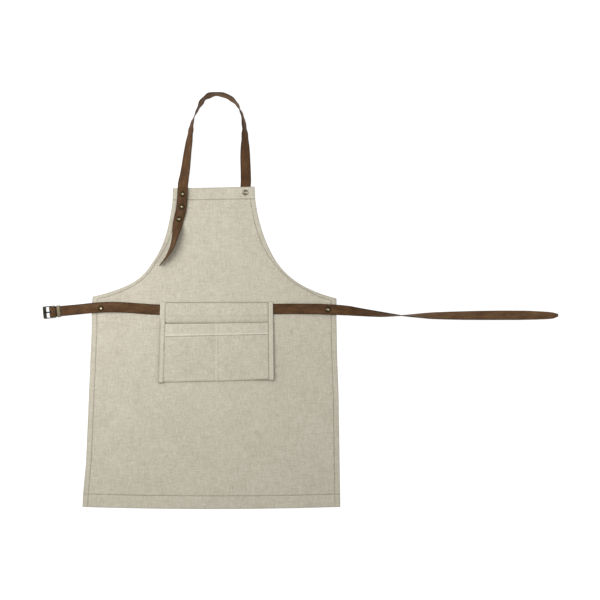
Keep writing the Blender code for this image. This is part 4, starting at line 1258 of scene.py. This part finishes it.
def make_belt_left():
    """The belt's left half: out of the tunnel, over its snap, round the buckle's bar and back."""
    spots = [(x, BELT_Z) for x in np.linspace(BELT_SPLIT, BELT_LEFT_OUT, 24)]
    spots += [(x, belt_left_height(x)) for x in np.linspace(-375.0, -628.0, 84)]
    spots += [(x, belt_left_height(x)) for x in np.linspace(-629.0, BAR.x, 42)]
    spots += [(BAR.x + out, BAR.z + up) for out, up in (turned(a, FOLD) for a in range(108, 271, 18))]
    spots += [(x, BAR.z - FOLD) for x in (-655.0, -648.0, -640.0, -633.5)]
    slope = math.tan(BUCKLE_TURN)
    line = []
    for x, z in spots:
        turn = smooth((-600.0 - x) / 40.0)
        y = belt_left_course(x) if x < BELT_HINGE_LEFT else BELT_Y
        line.append((Vector((x, y, z)), Vector((slope * turn, -1.0, 0.0)), 1.0))
    # dark: painted shade in the grooves of the fold's stitching, beside the keeper.
    belt = strap_object("waist_belt_left", line, seed=2.0, dark=((-637.2, 1.9, 1.0), (-632.6, 1.0, 0.9)))
    for low, high in SLOT_CUTS:
        low, high = Vector(low), Vector(high)
        bm = bmesh.new()
        bmesh.ops.create_cube(bm, size=1.0)
        mesh = bpy.data.meshes.new("slot_cutter")
        bm.to_mesh(mesh)
        bm.free()
        cutter = placed("slot_cutter", mesh, (
            Matrix.Translation(BAR * MM)
            @ Matrix.Rotation(BUCKLE_TURN, 4, "Z")
            @ Matrix.Translation(0.5 * (low + high) * MM)
            @ Matrix.Diagonal((*((high - low) * MM), 1.0))
        ))
        mod = belt.modifiers.new("slot", "BOOLEAN")
        mod.object = cutter
        apply_modifiers(belt)
        bpy.data.objects.remove(cutter, do_unlink=True)
    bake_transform(belt)
    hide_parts("belt_left", "belt_middle")


def make_belt_right():
    """The belt's right half: out of the tunnel, over its snap, and rolled over to its tip."""
    inside = [(Vector((x, BELT_Y + 1.8 * (x - BELT_SPLIT) / BELT_INSIDE, BELT_Z)), 0.0, 1.0)
              for x in np.linspace(BELT_SPLIT, BELT_RIGHT_OUT, 24)]
    line = rolled(inside + route(RIGHT_PLACES, RIGHT_ROLLS, RIGHT_SAMPLES))
    # dark: painted shadow where the belt comes out from under the tunnel's band.
    belt = strap_object("waist_belt_right", line, seed=3.0, dark=((-74.0, 5.0, 1.0),))
    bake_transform(belt)
    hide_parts("belt_right")


# Metal -------------------------------------------------------------------------
def lathe(name, profile, place, mats, bright_inside=0.0, segments=40):
    """A turned piece from (radius, height) points; faces inside a radius take the second material."""
    verts, faces, marks = [], [], []
    rings = []
    for radius, height in profile:
        if radius < 1e-6:
            rings.append([len(verts)])
            verts.append((place[0], place[1], height))
            continue
        ring = []
        for k in range(segments):
            angle = 2.0 * math.pi * k / segments
            ring.append(len(verts))
            verts.append((place[0] + radius * math.cos(angle), place[1] + radius * math.sin(angle), height))
        rings.append(ring)
    for (upper, lower), ((r0, _), (r1, _)) in zip(zip(rings, rings[1:]), zip(profile, profile[1:])):
        for k in range(segments):
            a, b = upper[k % len(upper)], upper[(k + 1) % len(upper)]
            c, d = lower[(k + 1) % len(lower)], lower[k % len(lower)]
            corners = []
            for corner in (a, d, c, b):
                if corner not in corners:
                    corners.append(corner)
            faces.append(corners)
            marks.append(1 if max(r0, r1) <= bright_inside + 1e-6 else 0)
    obj = new_object(name, verts, faces, mats[0])
    if len(mats) > 1:
        obj.data.materials.append(mats[1])
        for face, mark in zip(obj.data.polygons, marks):
            face.material_index = mark
    return obj


# Middles of the caps as (radius, height against the rim); the first four points are rubbed bright.
SMALL_DISH = ((0.0, -1.05), (1.0, -1.0), (2.0, -0.72), (2.7, -0.28), (3.1, -0.02), (3.45, -0.05),
              (3.8, -0.45), (4.3, -0.72), (4.9, -0.66), (5.4, -0.3))
WIDE_DISH = ((0.0, -1.15), (1.0, -1.05), (2.0, -0.78), (3.0, -0.45), (3.7, -0.14), (4.1, -0.04),
             (4.4, -0.30), (4.8, -0.62), (5.2, -0.66), (5.6, -0.30))


def make_cap(name, node, place, body, slot, mats, dish=SMALL_DISH):
    """A ring cap: a rolled rim, a channel, and a bright dished middle."""
    low, high = box_mm(node)
    top = high.z
    skirt = top - 1.8
    profile = [(radius, top + drop) for radius, drop in dish]
    profile += [
        (6.0, top - 0.02), (6.6, top + 0.02), (7.3, top - 0.25), (7.8, top - 0.8), (8.0, top - 1.35),
        (7.8, skirt), (6.6, skirt), (2.2, skirt), (2.2, low.z), (0.0, low.z),
    ]
    cap = lathe(name, profile, place, mats, bright_inside=dish[3][0])
    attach(cap, body)
    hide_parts(node)


def make_caps():
    """Every cap, and the metal of the snaps' hidden halves."""
    brass = ("antique_brass", (BRASS, BRASS_BRIGHT))
    for word, place in (("left", BELT_SNAP_LEFT), ("right", BELT_SNAP_RIGHT)):
        body = f"belt_{word}_end"
        make_cap(f"snap_cap_belt_{word}", f"belt_snap_{word}_cap", place, body, *brass, WIDE_DISH)
    make_cap("snap_cap_bib", "bib_snap_cap", BIB_SNAP, "neck_strap_tail", *brass)
    for word, place in zip(("middle", "end"), TAIL_SNAPS):
        make_cap(f"snap_cap_tail_{word}", f"tail_snap_{word}_cap", place, "neck_strap_tail", *brass)
    make_cap("rivet_cap", "bib_rivet_cap", RIVET, "apron", "nickel", (NICKEL, NICKEL_BRIGHT))
    for name, node in NODES.items():
        if name.endswith(("_socket", "_stud", "_post")) or name == "bib_rivet_back":
            node.data.materials.clear()
            node.data.materials.append(BRASS)


BUCKLE_HALF = 16.5
FRONT_EDGE = -21.4  # ends of the buckle's frame, along the belt from its bar
REAR_EDGE = 14.6
FRONT_BAR = 9.3  # widths of the frame's front, rear and sides
REAR_BAR = 1.5
RAIL = 2.3
BAR_DROP = 1.5  # of the centre bar below the middle of the frame's plate
PLATE = 2.6
BAR_R = 1.5
PRONG_R = 1.2
PRONG_GAP = 0.3  # between the prong and the metal it lies on


def rounded_loop(x0, x1, half, corner, steps=6):
    """Points round a rectangle with rounded corners."""
    points = []
    for cx, cy, start in ((x1 - corner, half - corner, 0), (x0 + corner, half - corner, 90),
                          (x0 + corner, corner - half, 180), (x1 - corner, corner - half, 270)):
        for k in range(steps + 1):
            angle = math.radians(start + 90.0 * k / steps)
            points.append((cx + corner * math.cos(angle), cy + corner * math.sin(angle)))
    return points


def pierced_plate(name, loops, thickness, round_off, mat, place):
    """A plate with rounded edges from an outline and the holes in it."""
    data = bpy.data.curves.new(name, "CURVE")
    data.dimensions = "2D"
    data.fill_mode = "BOTH"
    data.extrude = (0.5 * thickness - round_off) * MM
    data.bevel_depth = round_off * MM
    data.bevel_resolution = 3
    data.offset = -round_off * MM
    for loop in loops:
        line = data.splines.new("POLY")
        line.points.add(len(loop) - 1)
        for point, (x, y) in zip(line.points, loop):
            point.co = (x * MM, y * MM, 0.0, 1.0)
        line.use_cyclic_u = True
    guide = placed(name + "_guide", data)
    bpy.context.view_layer.update()
    mesh = bpy.data.meshes.new_from_object(guide.evaluated_get(bpy.context.evaluated_depsgraph_get()))
    bpy.data.objects.remove(guide, do_unlink=True)
    bm = bmesh.new()
    bm.from_mesh(mesh)
    bmesh.ops.remove_doubles(bm, verts=bm.verts, dist=0.002 * MM)
    bmesh.ops.recalc_face_normals(bm, faces=bm.faces)
    bm.to_mesh(mesh)
    bm.free()
    mesh.shade_smooth()
    mesh.set_sharp_from_angle(angle=math.radians(40.0))
    mesh.materials.clear()
    mesh.materials.append(mat)
    return placed(name, mesh, place)


def buckle_place():
    """The buckle's own frame: at its bar, turned with the belt and tilted up at its front."""
    turn = Matrix.Rotation(BUCKLE_TURN, 4, "Z")
    tilt = Matrix.Rotation(-BUCKLE_TILT, 4, "Y")
    return Matrix.Translation(BAR * MM) @ turn @ tilt


def tube_object(name, points, radii, mat, place, sides=14, flat=1.0):
    """A wire through points, with a radius at each, its width a multiple of its height."""
    verts = []
    points = [Vector(p) for p in points]
    across = Vector((0, 1, 0))
    for k, (point, radius) in enumerate(zip(points, radii)):
        heading = (points[min(k + 1, len(points) - 1)] - points[max(k - 1, 0)]).normalized()
        rise = heading.cross(across).normalized()
        for j in range(sides):
            angle = 2.0 * math.pi * j / sides
            sideways = across * (flat * radius * math.cos(angle))
            verts.append(point + sideways + rise * (radius * math.sin(angle)))
    obj = new_object(name, verts, tube_faces(len(points), sides), mat, place=place)
    face_outwards(obj.data)
    return obj


def join(obj, others):
    """Put the other meshes into the first object, in its frame."""
    bm = bmesh.new()
    bm.from_mesh(obj.data)
    for other in others:
        mesh = other.data.copy()
        mesh.transform(obj.matrix_world.inverted() @ other.matrix_world)
        bm.from_mesh(mesh)
        bpy.data.objects.remove(other, do_unlink=True)
    bm.to_mesh(obj.data)
    bm.free()
    return obj


def make_buckle():
    """The frame with its centre bar, and the prong that turns on the bar."""
    place = buckle_place() @ Matrix.Translation((0.0, 0.0, BAR_DROP * MM))
    outline = rounded_loop(FRONT_EDGE, REAR_EDGE, BUCKLE_HALF, 3.5)
    window = rounded_loop(FRONT_EDGE + FRONT_BAR, REAR_EDGE - REAR_BAR, BUCKLE_HALF - RAIL, 2.6)
    plate = pierced_plate("buckle_metal", (outline, window), PLATE, 0.75, IRON, place)
    reach = BUCKLE_HALF - RAIL / 2
    bar = tube_object("bar", [(0, 0, -reach), (0, 0, 0), (0, 0, reach)], [BAR_R] * 3, IRON,
                      buckle_place() @ Matrix.Rotation(math.radians(90.0), 4, "X"), sides=20)
    join(plate, [bar])
    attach(plate, "buckle")
    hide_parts("buckle_frame")

    hoop = BAR_R + PRONG_GAP + PRONG_R
    points = [(out, 0.0, up) for out, up in (turned(a, hoop) for a in range(-175, 92, 16))]
    tip = BAR_DROP + 0.5 * PLATE + PRONG_GAP + PRONG_R
    points += [(-2.2, 0.0, 3.35), (-4.5, 0.0, 3.7), (-7.5, 0.0, 4.1), (-11.0, 0.0, tip),
               (-16.0, 0.0, tip), (FRONT_EDGE + 3.0, 0.0, tip - 0.1), (FRONT_EDGE + 2.0, 0.0, tip - 0.2)]
    radii = [PRONG_R] * (len(points) - 4) + [1.15, 1.1, 0.95, 0.45]
    prong = tube_object("prong_metal", points, radii, PRONG_IRON, buckle_place(), flat=1.45)
    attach(prong, "prong")
    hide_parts("buckle_prong")


KEEPER_HALF = 4.3
KEEPER_RIBS = (  # place along the keeper, how far its outside stands out
    (-1.0, -0.35), (-0.93, -0.05), (-0.78, 0.0), (-0.60, -0.28), (-0.42, 0.0), (-0.20, 0.06),
    (0.0, -0.22), (0.20, 0.06), (0.42, 0.0), (0.60, -0.28), (0.78, 0.0), (0.93, -0.05), (1.0, -0.35),
)


def make_keeper():
    """The keeper: a ribbed metal band bent into a loop round both layers of the strap."""
    low, high = box_mm("keeper_loop")
    middle = 0.5 * (low + high) + Vector((1.3, 0.13, 0.0))
    height = high.z - low.z
    wide = STRAP_WIDTH / 2 + 0.8
    outer = rounded_loop(-wide - 1.1, wide + 1.1, height / 2, 1.8, steps=8)
    inner = rounded_loop(-wide, wide, height / 2 - 1.05, 0.9, steps=8)
    verts, faces = [], []
    for (oy, oz), (iy, iz) in zip(outer, inner):
        out = Vector((oy - iy, oz - iz)).normalized()
        for place, stand in KEEPER_RIBS:
            verts.append((place * KEEPER_HALF, oy + out.x * stand, oz + out.y * stand))
        verts.append((KEEPER_HALF, iy, iz))
        verts.append((-KEEPER_HALF, iy, iz))
    ring = len(KEEPER_RIBS) + 2
    for k in range(len(outer)):
        after = (k + 1) % len(outer)
        for j in range(ring):
            a, b = k * ring + j, k * ring + (j + 1) % ring
            faces.append((a, b, after * ring + (j + 1) % ring, after * ring + j))
    place = Matrix.Translation(middle * MM) @ Matrix.Rotation(BUCKLE_TURN, 4, "Z")
    keeper = new_object("keeper_metal", verts, faces, KEEPER_BRASS, place=place)
    face_outwards(keeper.data)
    keeper.data.set_sharp_from_angle(angle=math.radians(50.0))
    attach(keeper, "keeper")
    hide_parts("keeper_loop")


FOLD_SEAMS = (-636.0, -632.8)
FOLD_SEAM_SLOPE = 0.098
FOLD_SEAM_LIFT = 1.33  # from the leather's middle


def make_fold_stitches():
    """Two rows across the belt that hold its turned-back end."""
    paths = []
    for x in FOLD_SEAMS:
        z = belt_left_height(x) + FOLD_SEAM_LIFT
        y = belt_left_course(x)
        paths.append([(x - FOLD_SEAM_SLOPE * a, y + a, z) for a in (-12.0, 0.0, 12.0)])
    row = make_stitches("stitches_belt_fold", paths, "belt_left_end", mat=THREAD_DARK)


# Stage -------------------------------------------------------------------------
FLOOR_HALF = 6000.0
FLOOR_Z = -0.3
LIGHTS = (  # name, place and size in metres, power in watts, aim
    ("key", (-1.0, 0.35, 1.08), 1.05, 15.4, (-0.2, 0.0, 0.0)),
    ("fill", (1.3, 0.1, 1.1), 0.8, 4.5, (0.5, 0.0, 0.0)),
)
WORLD_STRENGTH = 0.51
CAMERA_PLACE = (-0.0013, 0.0003, 4.425)
CAMERA_LENS = 100.0


def make_stage():
    """A white floor, a soft key light from the left with a weak fill, and the camera straight above."""
    floor_mat = Nodes("floor")
    floor_mat.set(Base_Color=(0.25, 0.25, 0.25), Roughness=0.9, Specular_IOR_Level=0.1,
                  Emission_Color=(1.0, 1.0, 1.0), Emission_Strength=0.90)
    corners = [(x * FLOOR_HALF, y * FLOOR_HALF, FLOOR_Z) for x, y in ((-1, -1), (1, -1), (1, 1), (-1, 1))]
    floor = new_object("floor", corners, [(0, 1, 2, 3)], floor_mat.mat)

    for name, place, size, power, aim in LIGHTS:
        data = bpy.data.lights.new(name, "AREA")
        data.shape = "DISK"
        data.size = size
        data.energy = power
        obj = placed(name, data)
        obj.location = place
        obj.rotation_mode = "QUATERNION"
        obj.rotation_quaternion = (Vector(aim) - Vector(place)).to_track_quat("-Z", "Y")

    world = bpy.data.worlds.new("studio")
    world.use_nodes = True
    background = world.node_tree.nodes["Background"]
    background.inputs["Color"].default_value = (1.0, 1.0, 1.0, 1.0)
    background.inputs["Strength"].default_value = WORLD_STRENGTH
    bpy.context.scene.world = world
    bpy.context.scene.view_settings.view_transform = "Standard"

    camera = bpy.data.cameras.new("camera")
    camera.lens = CAMERA_LENS
    camera.sensor_width = 36.0
    obj = placed("camera", camera)
    obj.location = CAMERA_PLACE
    camera.clip_end = 50.0
    bpy.context.scene.camera = obj


make_stage()
make_canvas()
make_canvas_stitches()
make_pocket_cloth()
make_pocket_front()
make_pocket_bands()
make_pocket_stitches()
make_neck_strap()
make_belt_left()
make_belt_right()
make_caps()
make_buckle()
make_keeper()
make_fold_stitches()
